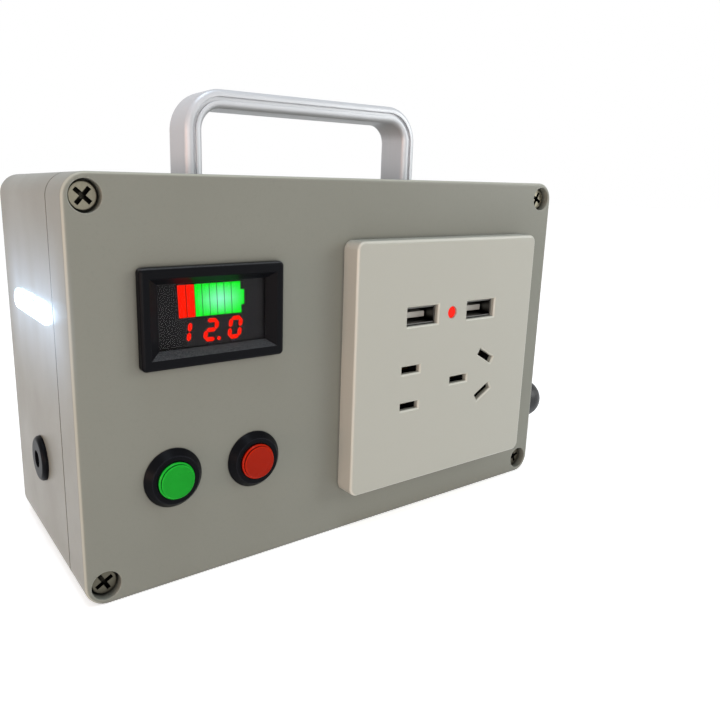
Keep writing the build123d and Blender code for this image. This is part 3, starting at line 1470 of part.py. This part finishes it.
write("base_shell", base_shell())
write("front_cover", front_cover())
write("cover_gasket", cover_gasket())
write("cover_screws", *cover_screws())
write("carry_handle", carry_handle())
write("handle_screws", *handle_screws(), *handle_washers())
write("socket_faceplate", socket_faceplate())
write("socket_body", socket_body())
write("socket_contacts", *socket_contacts(), *socket_terminals())
write("socket_screws", *socket_screws(), *socket_nuts())
write("usb_ports", usb_shell(usb_left_x), usb_shell(usb_right_x))
write("usb_tongues", usb_tongue(usb_left_x), usb_tongue(usb_right_x))
write("usb_board", usb_board())
write("socket_indicator", socket_indicator())
write("meter_bezel", meter_bezel())
write("meter_glass", meter_inner(glass_y, digit_y))
write("meter_digits", *meter_digits())
write("gauge_red_bars", *gauge_red_bars())
write("gauge_green_bars", *gauge_green_bars())
write("meter_display", meter_inner(display_y, meter_board_y))
write("meter_board", meter_board())
write("button_bezels", button_bezel(green_button_x), button_bezel(red_button_x))
write("green_button_cap", button_cap(green_button_x))
write("red_button_cap", button_cap(red_button_x))
write("button_springs", button_spring(green_button_x), button_spring(red_button_x))
write("button_switches", button_switch(green_button_x), button_switch(red_button_x))
write("button_nuts", *button_nuts())
write("lamp_lens", lamp_lens())
write("lamp_leds", *lamp_leds())
write("lamp_board", lamp_board())
write("dc_jack_shell", dc_jack_shell())
write("dc_jack_pin", dc_jack_pin(), *dc_jack_terminals())
write("dc_jack_nut", dc_jack_nut())
write("gearbox_outer_plate", gearbox_outer_plate())
write("gearbox_inner_plate", gearbox_inner_plate())
write("gearbox_pillars", *gearbox_pillars())
write("inner_screws", *gearbox_plate_screws(), *generator_screws(), *board_screws(), *lamp_screws())
write("gearbox_screws", *gearbox_screws())
write("shaft_bushes", wall_bush(), inner_bush(), *generator_bushes())
write("crank_shaft", crank_shaft())
write("drive_gear", drive_gear())
write("idler_gear", idler_gear())
write("idler_axle", idler_axle())
write("crank_arm", crank_arm())
write("crank_screw", crank_screw())
write("grip_pin", grip_pin())
write("crank_grip", crank_grip())
write("grip_cap", grip_cap())
write("generator_can", generator_can())
write("generator_brush_gear", generator_end_cap(), *generator_brushes())
write("generator_magnets", *generator_magnets())
write("generator_rotor", generator_rotor())
write("generator_pinion", generator_pinion())
write("battery_cells", *battery_cells())
write("battery_holder", battery_holder(), *cell_links())
write("inverter_board", inverter_board())
write("transformer", transformer_core(), transformer_winding())
write("heat_sink", heat_sink())
write("charge_board", charge_board())
write("inner_wires", *generator_wires(), *battery_wires(), *side_wires(), *front_wires())
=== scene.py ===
from math import radians

import bpy
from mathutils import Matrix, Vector


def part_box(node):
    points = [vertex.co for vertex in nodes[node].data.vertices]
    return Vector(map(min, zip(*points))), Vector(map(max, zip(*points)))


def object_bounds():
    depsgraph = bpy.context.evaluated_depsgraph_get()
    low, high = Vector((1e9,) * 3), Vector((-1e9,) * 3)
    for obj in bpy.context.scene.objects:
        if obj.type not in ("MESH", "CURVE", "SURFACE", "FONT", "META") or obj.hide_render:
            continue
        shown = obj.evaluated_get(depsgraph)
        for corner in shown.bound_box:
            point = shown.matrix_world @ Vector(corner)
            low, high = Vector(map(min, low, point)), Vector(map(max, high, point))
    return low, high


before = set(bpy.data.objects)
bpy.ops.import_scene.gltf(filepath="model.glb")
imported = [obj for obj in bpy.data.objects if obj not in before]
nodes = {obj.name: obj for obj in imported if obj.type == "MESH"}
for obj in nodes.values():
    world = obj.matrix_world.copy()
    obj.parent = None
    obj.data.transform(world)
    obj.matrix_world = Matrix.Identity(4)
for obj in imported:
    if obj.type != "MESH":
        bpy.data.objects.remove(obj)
cad_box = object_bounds()

MM = 0.001

# the side lamp's light: a glow in its own bar, and a painted glow on the plastic around it
FLANGE_PROUD = 1.8 * MM  # from the left wall to the inlet's flange, the leftmost point
LAMP_END = 3 * MM  # the halo is even up to this far inside the lamp's ends
HALO_REACH = 34 * MM
HALO_DEPTH = 1.7 * MM  # how far it follows the rounded edges
HALO_FALL = 2.2
LENS_CORE = 1.2 * MM  # half of the bright line along the bar
LENS_EDGE = 3.0 * MM  # where that line has faded
LENS_DROP = 0.7 * MM  # the line lies this far below the diodes' middle

# below the first height a cover screw is darker, above the second it has its full colour
SCREW_HEIGHTS = (10 * MM, 100 * MM)
WIRE_PITCH = 0.4 * MM

# scales of the noises that several materials share, in waves per metre
CLOUDS = 18
FLECKS = 1400
SMUDGES = 60

# colours, linear
GREY = (0.214, 0.216, 0.184)
CREAM = (0.405, 0.402, 0.352)
BLACK = (0.0032, 0.0034, 0.0046)
# painted shade: the socket body's colour, dark as the shade inside its pin slots
SOCKET_SHADE = (0.006, 0.006, 0.007)
DISPLAY = (0.0045, 0.0040, 0.0050)
# painted highlight on the meter funnel's lower slope
FUNNEL_HIGHLIGHT = (0.075, 0.078, 0.082)
RUBBER = (0.015, 0.015, 0.015)
# each cap colour is followed by its darker copy, the painted shade of the cap's side wall
GREEN = (0.006, 0.290, 0.018)
GREEN_SHADE = (0.002, 0.060, 0.008)
RED = (0.300, 0.0090, 0.0)
RED_SHADE = (0.070, 0.002, 0.001)
TONGUE = (0.50, 0.49, 0.45)
HANDLE = (0.545, 0.560, 0.585)
ALLOY = (0.50, 0.51, 0.52)
STEEL = (0.48, 0.48, 0.47)
NICKEL = (0.45, 0.44, 0.41)
# painted shade: port shell metal darkened as the shade inside the ports
SHELL = (0.12, 0.118, 0.112)
SCREW = (0.235, 0.218, 0.165)
BRASS = (0.60, 0.40, 0.14)
# painted shade: brass darkened as the shade inside the socket slots
CONTACT_SHADE = (0.16, 0.10, 0.035)
BRONZE = (0.42, 0.26, 0.12)
NYLON = (0.62, 0.58, 0.48)
MAGNET = (0.020, 0.020, 0.022)
COPPER = (0.50, 0.17, 0.05)
BOARD = (0.006, 0.060, 0.022)
TRACK = (0.014, 0.12, 0.045)
SOLDER = (0.42, 0.43, 0.42)
CELL = (0.012, 0.075, 0.330)
WIRE = (0.300, 0.008, 0.006)
GLASS = (1, 1, 1)
DARKNESS = (0, 0, 0)
LED_RED = (1.0, 0.010, 0.001)
LED_GREEN = (0.002, 0.86, 0.010)
LED_WHITE = (0.72, 0.86, 1.0)
GAUGE_CORE = (0.30, 1.0, 0.62)
# colour of the painted glow on the plastic around the side lamp
HALO = (0.34, 0.43, 0.56)
LENS_DIM = (0.10, 0.19, 0.32)
LENS_BRIGHT = (2.4, 3.0, 3.6)

# sockets of Blender's mix node, which share their names: colours, then plain numbers
MIX_COLOURS = (6, 7)
MIX_COLOUR_OUT = 2
MIX_NUMBERS = (2, 3)


# ------------------------------------------------------------------ materials
class Maker:
    """One node material with the shader's sockets at hand."""

    def __init__(self, name, colour, roughness, metallic=0.0):
        self.mat = bpy.data.materials.new(name)
        self.mat.use_nodes = True
        self.tree = self.mat.node_tree
        self.shader = self.tree.nodes["Principled BSDF"]
        self.shader.inputs["Metallic"].default_value = metallic
        self.shader.inputs["Roughness"].default_value = roughness
        self.shader.inputs["Base Color"].default_value = (*colour, 1)
        self.coords = self.tree.nodes.new("ShaderNodeTexCoord").outputs["Object"]

    def node(self, kind, **settings):
        made = self.tree.nodes.new(kind)
        for key, value in settings.items():
            setattr(made, key, value)
        return made

    def link(self, source, target):
        self.tree.links.new(source, target)

    def colour(self, source):
        self.link(source, self.shader.inputs["Base Color"])

    def roughness(self, source):
        self.link(source, self.shader.inputs["Roughness"])

    def glow(self, source, strength=1.0):
        self.link(source, self.shader.inputs["Emission Color"])
        self.shader.inputs["Emission Strength"].default_value = strength

    def noise(self, scale, detail=3.0, stretch=(1, 1, 1), rough=0.5):
        mapping = self.node("ShaderNodeMapping")
        mapping.inputs["Scale"].default_value = stretch
        self.link(self.coords, mapping.inputs["Vector"])
        made = self.node("ShaderNodeTexNoise")
        made.inputs["Scale"].default_value = scale
        made.inputs["Detail"].default_value = detail
        made.inputs["Roughness"].default_value = rough
        self.link(mapping.outputs["Vector"], made.inputs["Vector"])
        return made.outputs["Fac"]

    def spread(self, value, low, high, start=0.3, end=0.7):
        """Value, from start to end, spread from low to high."""
        made = self.node("ShaderNodeMapRange")
        for key, number in (("From Min", start), ("From Max", end), ("To Min", low), ("To Max", high)):
            made.inputs[key].default_value = number
        self.link(value, made.inputs["Value"])
        return made.outputs["Result"]

    def rise(self, value, start=0.3, end=0.7):
        """0 up to start, 1 from end on."""
        return self.spread(value, 0.0, 1.0, start, end)

    def fall(self, value, start, end):
        """1 up to start, 0 from end on."""
        return self.spread(value, 1.0, 0.0, start, end)

    def mix(self, factor, first, second):
        made = self.node("ShaderNodeMix", data_type="RGBA")
        for index, value in zip(MIX_COLOURS, (first, second)):
            if isinstance(value, tuple):
                made.inputs[index].default_value = (*value, 1)
            else:
                self.link(value, made.inputs[index])
        self.link(factor, made.inputs["Factor"])
        return made.outputs[MIX_COLOUR_OUT]

    def axis(self, name):
        """One of the object coordinates, in metres."""
        split = self.node("ShaderNodeSeparateXYZ")
        self.link(self.coords, split.inputs[0])
        return split.outputs[name]

    def normal(self, name):
        """One part of the surface's direction."""
        split = self.node("ShaderNodeSeparateXYZ")
        self.link(self.node("ShaderNodeNewGeometry").outputs["Normal"], split.inputs[0])
        return split.outputs[name]

    def math(self, operation, first, second=None):
        made = self.node("ShaderNodeMath", operation=operation)
        for socket, value in zip(made.inputs, (first, second)):
            if value is None:
                continue
            if isinstance(value, (int, float)):
                socket.default_value = value
            else:
                self.link(value, socket)
        return made.outputs[0]

    def times(self, first, second):
        return self.math("MULTIPLY", first, second)

    def away(self, name, middle):
        """How far a point lies from middle along one axis."""
        return self.math("ABSOLUTE", self.math("SUBTRACT", self.axis(name), middle))

    def length(self, first, second):
        """The length of the slope over two lengths at a right angle."""
        squares = [self.math("POWER", value, 2.0) for value in (first, second)]
        return self.math("SQRT", self.math("ADD", *squares))

    def edges(self, radius):
        """(rounded normal, how near this is to an edge)."""
        bevel = self.node("ShaderNodeBevel", samples=4)
        bevel.inputs["Radius"].default_value = radius
        normal = self.node("ShaderNodeNewGeometry").outputs["Normal"]
        dot = self.node("ShaderNodeVectorMath", operation="DOT_PRODUCT")
        self.link(bevel.outputs[0], dot.inputs[0])
        self.link(normal, dot.inputs[1])
        return bevel.outputs[0], self.fall(dot.outputs["Value"], 0.9, 1.0)

    def cavity(self, distance, own=True):
        """1 in the open, falling towards 0 in recesses, of this piece alone or of all."""
        made = self.node("ShaderNodeAmbientOcclusion", samples=6, only_local=own)
        made.inputs["Distance"].default_value = distance
        return made.outputs["AO"]

    def bump(self, height, distance, strength=1.0, normal=None):
        made = self.node("ShaderNodeBump")
        made.inputs["Distance"].default_value = distance
        made.inputs["Strength"].default_value = strength
        self.link(height, made.inputs["Height"])
        if normal is not None:
            self.link(normal, made.inputs["Normal"])
        self.link(made.outputs[0], self.shader.inputs["Normal"])


def scaled(colour, factor):
    return tuple(min(1.0, c * factor) for c in colour)


def moulded(name, colour, roughness=0.42, grain=2600, depth=0.00002, mottle=0.03, speck=0.3, edge=0.00025,
            edge_wear_and_highlight=1.25, specular=0.5, wear=0.04, contact=None, rounded_edge_highlight=None, painted_light=None):
    """Moulded plastic: spark-eroded grain, faint clouding, and edges made lighter,
    partly as slight wear and partly as a painted highlight.

    The rounded edges of the front can take a painted highlight of a given strength, the joints with other
    pieces within a given distance painted shade with some grime, and painted light, such as a lamp's glow
    or a highlight, can be added to the material when the rest is done.
    """
    m = Maker(name, colour, roughness)
    m.shader.inputs["Specular IOR Level"].default_value = specular
    normal, rim = m.edges(edge)
    base = m.mix(m.rise(m.noise(CLOUDS, 4)), scaled(colour, 1 - mottle), scaled(colour, 1 + mottle))
    base = m.mix(m.spread(m.noise(FLECKS, 2), 0.0, speck, 0.55, 0.8), base, scaled(colour, 0.86))
    # edges lighter: slight wear and a painted highlight
    base = m.mix(m.times(rim, 0.55), base, scaled(colour, edge_wear_and_highlight))
    # painted highlight on the rounded edges between the front and the faces beside it
    if rounded_edge_highlight is not None:
        forward = m.math("ABSOLUTE", m.normal("Y"))
        off_side = m.rise(forward, 0.1, 0.45)
        off_front = m.fall(forward, 0.8, 0.985)
        base = m.mix(m.times(off_side, off_front), base, scaled(colour, rounded_edge_highlight))
    # painted shade, with some grime, where other pieces come within that distance
    if contact is not None:
        base = m.mix(m.rise(m.cavity(contact, False), 0.2, 0.75), scaled(colour, 0.25), base)
    m.colour(base)
    m.roughness(m.spread(m.noise(SMUDGES, 5), roughness - wear, roughness + wear))
    m.bump(m.noise(grain, 2), depth, 0.6, normal)
    # painted light, added when the rest is done
    if painted_light is not None:
        painted_light(m)
    return m.mat


def worked(name, colour, roughness=0.3, stretch=(1, 1, 1), scale=700, depth=0.00001, edge=0.00015,
           tint=0.12, metallic=1.0, recess_shade=None, darker_below=None):
    """Worked metal: drawn or turned marks along the stretch, brighter rubbed edges.

    Painted shade can darken hollows of a given width, and a pair of heights makes the metal darker
    below the first and leaves its full colour above the second.
    """
    m = Maker(name, colour, roughness, metallic)
    normal, rim = m.edges(edge)
    marks = m.noise(scale, 4, stretch, 0.65)
    base = m.mix(m.rise(marks), scaled(colour, 1 - tint), scaled(colour, 1 + tint))
    base = m.mix(m.spread(m.noise(25, 3), 0.0, 0.4), base, scaled(colour, 0.86))
    base = m.mix(m.times(rim, 0.5), base, scaled(colour, 1.35))
    # darker below the first height, full colour above the second
    if darker_below is not None:
        base = m.mix(m.rise(m.axis("Z"), *darker_below), scaled(colour, 0.42), base)
    # painted shade in hollows, such as a screw's cross
    if recess_shade is not None:
        base = m.mix(m.rise(m.cavity(recess_shade), 0.62, 0.97), scaled(colour, 0.02), base)
    m.colour(base)
    m.roughness(m.spread(marks, roughness - 0.06, roughness + 0.09))
    m.bump(marks, depth, 0.7, normal)
    return m.mat


def painted_lamp_glow(m):
    """A painted glow of the side lamp's light on the plastic around it."""
    low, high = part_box("lamp_lens")
    middle = (low + high) / 2
    reach = (high.y - low.y) / 2 - LAMP_END
    beyond = m.math("MAXIMUM", m.math("SUBTRACT", m.away("Y", middle.y), reach), 0.0)
    distance = m.length(beyond, m.away("Z", middle.z))
    near = m.math("POWER", m.fall(distance, 0.0, HALO_REACH), HALO_FALL)
    wall = cad_box[0][0] + FLANGE_PROUD
    side = m.fall(m.axis("X"), wall, wall + HALO_DEPTH)
    streak = m.spread(m.noise(55, 3, (1, 1, 0.12)), 0.7, 1.15)
    m.glow(m.mix(m.times(m.times(near, side), streak), DARKNESS, HALO))


def lit(name, colour, strength, core=None):
    """A lit bar or digit; core is the light colour of its middle and the box that it fades in."""
    m = Maker(name, scaled(colour, 0.05), 0.5)
    m.shader.inputs["Specular IOR Level"].default_value = 0.1
    shown = m.mix(m.spread(m.noise(1500, 2), 0.0, 0.2), colour, scaled(colour, 0.75))
    if core is not None:
        light, (low, high) = core
        middle = (low + high) / 2
        half = (high - low) / 2
        upright = m.fall(m.away("Z", middle.z), 0.0, half.z)
        sideways = m.fall(m.away("X", middle.x), 0.0, half.x)
        shown = m.mix(m.times(upright, sideways), shown, light)
    m.glow(shown, strength)
    m.bump(m.noise(2000, 2), 0.00001)
    return m.mat


def clear(name, colour, roughness, ior=1.49, grain=1200):
    """Clear plastic or glass with faint moulding waves."""
    m = Maker(name, colour, roughness)
    m.shader.inputs["Transmission Weight"].default_value = 1.0
    m.shader.inputs["IOR"].default_value = ior
    m.roughness(m.spread(m.noise(70, 3), max(roughness - 0.01, 0.0), roughness + 0.04))
    m.bump(m.noise(grain, 2), 0.000004, 0.4)
    return m


def circuit(name):
    """Lacquered circuit board with green tracks and grey solder dots."""
    m = Maker(name, BOARD, 0.35)
    cells = m.node("ShaderNodeTexVoronoi", feature="DISTANCE_TO_EDGE", distance="MANHATTAN")
    cells.inputs["Scale"].default_value = 240
    m.link(m.coords, cells.inputs["Vector"])
    track = m.fall(cells.outputs["Distance"], 0.04, 0.07)
    spots = m.node("ShaderNodeTexVoronoi")
    spots.inputs["Scale"].default_value = 330
    m.link(m.coords, spots.inputs["Vector"])
    dot = m.fall(spots.outputs["Distance"], 0.16, 0.2)
    m.colour(m.mix(dot, m.mix(track, BOARD, TRACK), SOLDER))
    m.roughness(m.spread(dot, 0.35, 0.22, 0, 1))
    m.bump(m.math("ADD", track, dot), 0.00006)
    return m.mat


def wound(name, colour, pitch):
    """Enamelled wire laid in turns."""
    m = Maker(name, colour, 0.3, metallic=0.8)
    wave = m.node("ShaderNodeTexWave", bands_direction="Z", wave_profile="SIN")
    wave.inputs["Scale"].default_value = 1 / pitch
    wave.inputs["Distortion"].default_value = 0.6
    m.link(m.coords, wave.inputs["Vector"])
    m.colour(m.mix(wave.outputs["Fac"], scaled(colour, 0.45), scaled(colour, 1.2)))
    m.bump(wave.outputs["Fac"], 0.00015)
    return m.mat


def painted_funnel_highlight(m):
    """The meter's funnel: a pale, grainy painted highlight on its sloping lower side, which faces up to
    the light.
    """
    up = m.normal("Z")
    slope = m.times(m.rise(up, 0.5, 0.7), m.fall(up, 0.92, 0.96))
    grain = m.spread(m.noise(3200, 2), 0.25, 1.0)
    m.colour(m.mix(m.times(slope, grain), BLACK, FUNNEL_HIGHLIGHT))


def lens_material():
    """The side lamp's clear bar, glowing around each diode."""
    m = clear("lens_clear", LED_WHITE, 0.08)
    low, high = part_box("lamp_leds")
    middle = (low + high) / 2
    diode = high.z - low.z
    pitch = (high.y - low.y - diode) / 2
    across = m.away("Z", middle.z - LENS_DROP)
    along = m.math("PINGPONG", m.away("Y", middle.y), pitch / 2)
    spot = m.math("POWER", m.fall(m.length(along, across), 0.0, pitch / 2), 1.5)
    bar = m.spread(across, 0.45, 0.0, LENS_CORE, LENS_EDGE)
    m.glow(m.mix(m.math("MAXIMUM", spot, bar), LENS_DIM, LENS_BRIGHT))
    return m.mat


def cap_material(name, bright, dark):
    """A translucent button cap: bright flat face, a painted highlight on its thin rim,
    and painted shade on its side wall.
    """
    m = Maker(name, bright, 0.30)
    m.shader.inputs["Specular IOR Level"].default_value = 0.1
    out = m.times(m.normal("Y"), -1.0)
    face = m.mix(m.rise(m.noise(120, 3)), scaled(bright, 0.94), scaled(bright, 1.06))
    # painted highlight on the thin rim around the flat face
    base = m.mix(m.rise(out, 0.93, 0.99), scaled(bright, 1.5), face)
    # painted shade on the side wall
    m.colour(m.mix(m.rise(out, 0.45, 0.65), dark, base))
    m.roughness(m.spread(m.noise(400, 3), 0.26, 0.36))
    m.bump(m.noise(2400, 2), 0.000010, 0.5)
    return m.mat


def paint(material, *names):
    for name in names:
        slots = nodes[name].data.materials
        slots.clear()
        slots.append(material)


# enclosure, handle and their screws
# the enclosure gets painted highlights on its edges, painted shade with some grime at its joints, and the
# side lamp's painted glow
paint(moulded("grey_enclosure", GREY, 0.33, grain=2200, depth=0.000018, edge=0.0006, edge_wear_and_highlight=1.7,
              specular=0.22, contact=0.0022, rounded_edge_highlight=1.9, painted_light=painted_lamp_glow), "base_shell", "front_cover")
paint(moulded("seal_rubber", RUBBER, 0.8), "cover_gasket")
# painted shade in the screws' cross recesses; the cover screws are also darker towards the bottom
paint(worked("cover_screw", SCREW, 0.36, scale=1500, recess_shade=0.0025, darker_below=SCREW_HEIGHTS), "cover_screws")
paint(worked("plated_screw", SCREW, 0.36, scale=1500, recess_shade=0.0025), "gearbox_screws", "crank_screw")
paint(worked("handle_alloy", HANDLE, 0.44, (0.05, 1, 0.05), 900, edge=0.0004, tint=0.05, metallic=0.45),
      "carry_handle")

# wall socket, ports and inlet
# the faceplate gets a painted highlight on its rounded edges
paint(moulded("cream_plastic", CREAM, 0.30, depth=0.000006, mottle=0.004, speck=0.0, edge=0.0005,
              edge_wear_and_highlight=1.25, specular=0.4, wear=0.008, rounded_edge_highlight=1.35), "socket_faceplate")
# painted shade: the socket body, seen only through the pin slots, is dark as the shade in them
paint(moulded("socket_shade", SOCKET_SHADE, 0.6, specular=0.1), "socket_body")
# painted shade: the contacts darkened as the shade in the slots
paint(worked("contact_brass", CONTACT_SHADE, 0.4), "socket_contacts")
# painted shade: the port shells' metal darkened, and their hollows shaded
paint(worked("port_shell", SHELL, 0.34, (1, 0.1, 1), recess_shade=0.003), "usb_ports")
paint(worked("shell_metal", NICKEL, 0.26, (1, 0.1, 1)), "button_nuts", "dc_jack_nut", "dc_jack_pin")
paint(moulded("tongue_plastic", TONGUE, 0.45), "usb_tongues")
paint(lit("indicator_red", LED_RED, 1.0), "socket_indicator")

# meter
# the bezel's funnel gets a painted highlight on its lower slope
paint(moulded("meter_black", BLACK, 0.34, grain=3000, depth=0.000020, specular=0.06, painted_light=painted_funnel_highlight),
      "meter_bezel")
paint(clear("clear_window", GLASS, 0.015, ior=1.12).mat, "meter_glass")
paint(moulded("display_face", DISPLAY, 0.4, specular=0.08), "meter_display")
paint(lit("lit_red", LED_RED, 1.15), "meter_digits")
paint(lit("gauge_red", LED_RED, 1.0), "gauge_red_bars")
paint(lit("lit_green", LED_GREEN, 1.0, (GAUGE_CORE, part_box("gauge_green_bars"))), "gauge_green_bars")

# buttons
# edges made far lighter, a painted highlight over slight wear
paint(moulded("black_plastic", BLACK, 0.34, grain=3000, depth=0.000014, edge=0.0004, edge_wear_and_highlight=9.0,
              specular=0.05), "button_bezels", "dc_jack_shell")
# the caps get a painted highlight on their rims and painted shade on their side walls
paint(cap_material("green_cap", GREEN, GREEN_SHADE), "green_button_cap")
paint(cap_material("red_cap", RED, RED_SHADE), "red_button_cap")

# lamp
paint(lens_material(), "lamp_lens")
paint(lit("lit_white", LED_WHITE, 9.0), "lamp_leds")

# crank, gear train and generator
paint(worked("crank_alloy", ALLOY, 0.36, (1, 1, 0.05), 700), "crank_arm", "heat_sink")
paint(moulded("grip_black", BLACK, 0.38, grain=1800, depth=0.00003, edge=0.0004, edge_wear_and_highlight=2.0,
              specular=0.3), "crank_grip", "grip_cap")
paint(worked("bearing_bronze", BRONZE, 0.4), "shaft_bushes")
paint(moulded("gear_nylon", NYLON, 0.45), "drive_gear", "idler_gear")
paint(worked("gear_brass", BRASS, 0.28), "generator_pinion")
paint(worked("can_steel", STEEL, 0.3, (1, 0.1, 0.1)), "generator_can")
paint(moulded("magnet", MAGNET, 0.6), "generator_magnets")
paint(wound("copper_winding", COPPER, WIRE_PITCH), "generator_rotor", "transformer")

# the rest of the inside
paint(worked("plain_steel", STEEL, 0.3), "button_springs", "handle_screws", "socket_screws",
      "gearbox_outer_plate", "gearbox_inner_plate", "gearbox_pillars", "inner_screws", "crank_shaft",
      "idler_axle", "grip_pin")
paint(moulded("inner_black", BLACK, 0.45, specular=0.2), "button_switches", "generator_brush_gear",
      "battery_holder")
paint(circuit("circuit_board"), "usb_board", "meter_board", "lamp_board", "inverter_board", "charge_board")
paint(moulded("cell_wrap", CELL, 0.25), "battery_cells")
paint(moulded("wire_insulation", WIRE, 0.4), "inner_wires")


# ------------------------------------------------------------------ floor, light and camera
FLOOR_WHITE = (0.86, 0.86, 0.86)
FLOOR_SIZE = 12
FLOOR_GLOW = 0.61  # lifts the floor to white for the rays that see it
SKY_LIGHT = 0.46  # what the surroundings shed on matt surfaces
SKY_SEEN = 1.0  # how bright the same rays see them
TARGET = (0.0, 0.0, 0.06)


def seen_rays(tree):
    """1 for rays that come straight from the camera or over a mirroring or clear surface."""
    rays = tree.nodes.new("ShaderNodeLightPath")
    names = ("Is Glossy Ray", "Is Transmission Ray", "Is Camera Ray")
    seen = rays.outputs[names[0]]
    for name in names[1:]:
        either = tree.nodes.new("ShaderNodeMath")
        either.operation = "MAXIMUM"
        tree.links.new(seen, either.inputs[0])
        tree.links.new(rays.outputs[name], either.inputs[1])
        seen = either.outputs[0]
    return seen


def stage_material(name, shade, glow):
    """Pale, a little brighter to the camera so that it reads as white and keeps its shadow."""
    m = Maker(name, shade, 0.9)
    m.colour(m.mix(m.rise(m.noise(3, 2)), scaled(shade, 0.99), shade))
    m.shader.inputs["Emission Color"].default_value = (1, 1, 1, 1)
    m.link(m.times(seen_rays(m.tree), glow), m.shader.inputs["Emission Strength"])
    return m.mat


def white_world():
    world = bpy.data.worlds.new("studio")
    bpy.context.scene.world = world
    world.use_nodes = True
    sky = world.node_tree
    level = sky.nodes.new("ShaderNodeMix")
    for index, value in zip(MIX_NUMBERS, (SKY_LIGHT, SKY_SEEN)):
        level.inputs[index].default_value = value
    sky.links.new(seen_rays(sky), level.inputs["Factor"])
    background = sky.nodes["Background"]
    sky.links.new(level.outputs["Result"], background.inputs["Strength"])
    background.inputs["Color"].default_value = (1, 1, 1, 1)


def area_light(name, place, size, power, colour):
    light = bpy.data.lights.new(name, "AREA")
    light.shape = "DISK"
    light.size = size
    light.energy = power
    light.color = colour
    holder = bpy.data.objects.new(name, light)
    bpy.context.collection.objects.link(holder)
    holder.location = place
    holder.rotation_euler = (Vector(TARGET) - Vector(place)).to_track_quat("-Z", "Y").to_euler()


bpy.ops.mesh.primitive_plane_add(size=FLOOR_SIZE, location=(0, 0, 0))
floor = bpy.context.object
floor.name = "floor"
floor.data.materials.append(stage_material("floor_white", FLOOR_WHITE, FLOOR_GLOW))

white_world()
area_light("warm_low", (-0.42, -0.66, 0.04), size=0.24, power=2.35, colour=(1.0, 0.88, 0.80))
area_light("warm_left", (-0.90, -0.15, 0.05), size=0.35, power=3.2, colour=(1.0, 0.60, 0.46))
area_light("cool_high", (-0.12, -0.16, 0.93), size=0.35, power=2.6, colour=(0.74, 0.87, 1.0))
area_light("fill", (0.75, -0.55, 0.35), size=0.45, power=3.0, colour=(0.97, 1.0, 0.98))

# the camera's place, turn and lens are the ones that lay the model over the photograph
camera = bpy.data.objects.new("camera", bpy.data.cameras.new("camera"))
bpy.context.collection.objects.link(camera)
camera.location = (-0.14035, -0.20931, 0.11605)
camera.rotation_euler = (radians(77.08), radians(-0.818), radians(-33.919))
camera.data.lens = 33.728
camera.data.shift_x = 0.0833
camera.data.shift_y = -0.0208
camera.data.clip_start = 0.01
bpy.context.scene.camera = camera
bpy.context.scene.view_settings.view_transform = "Standard"
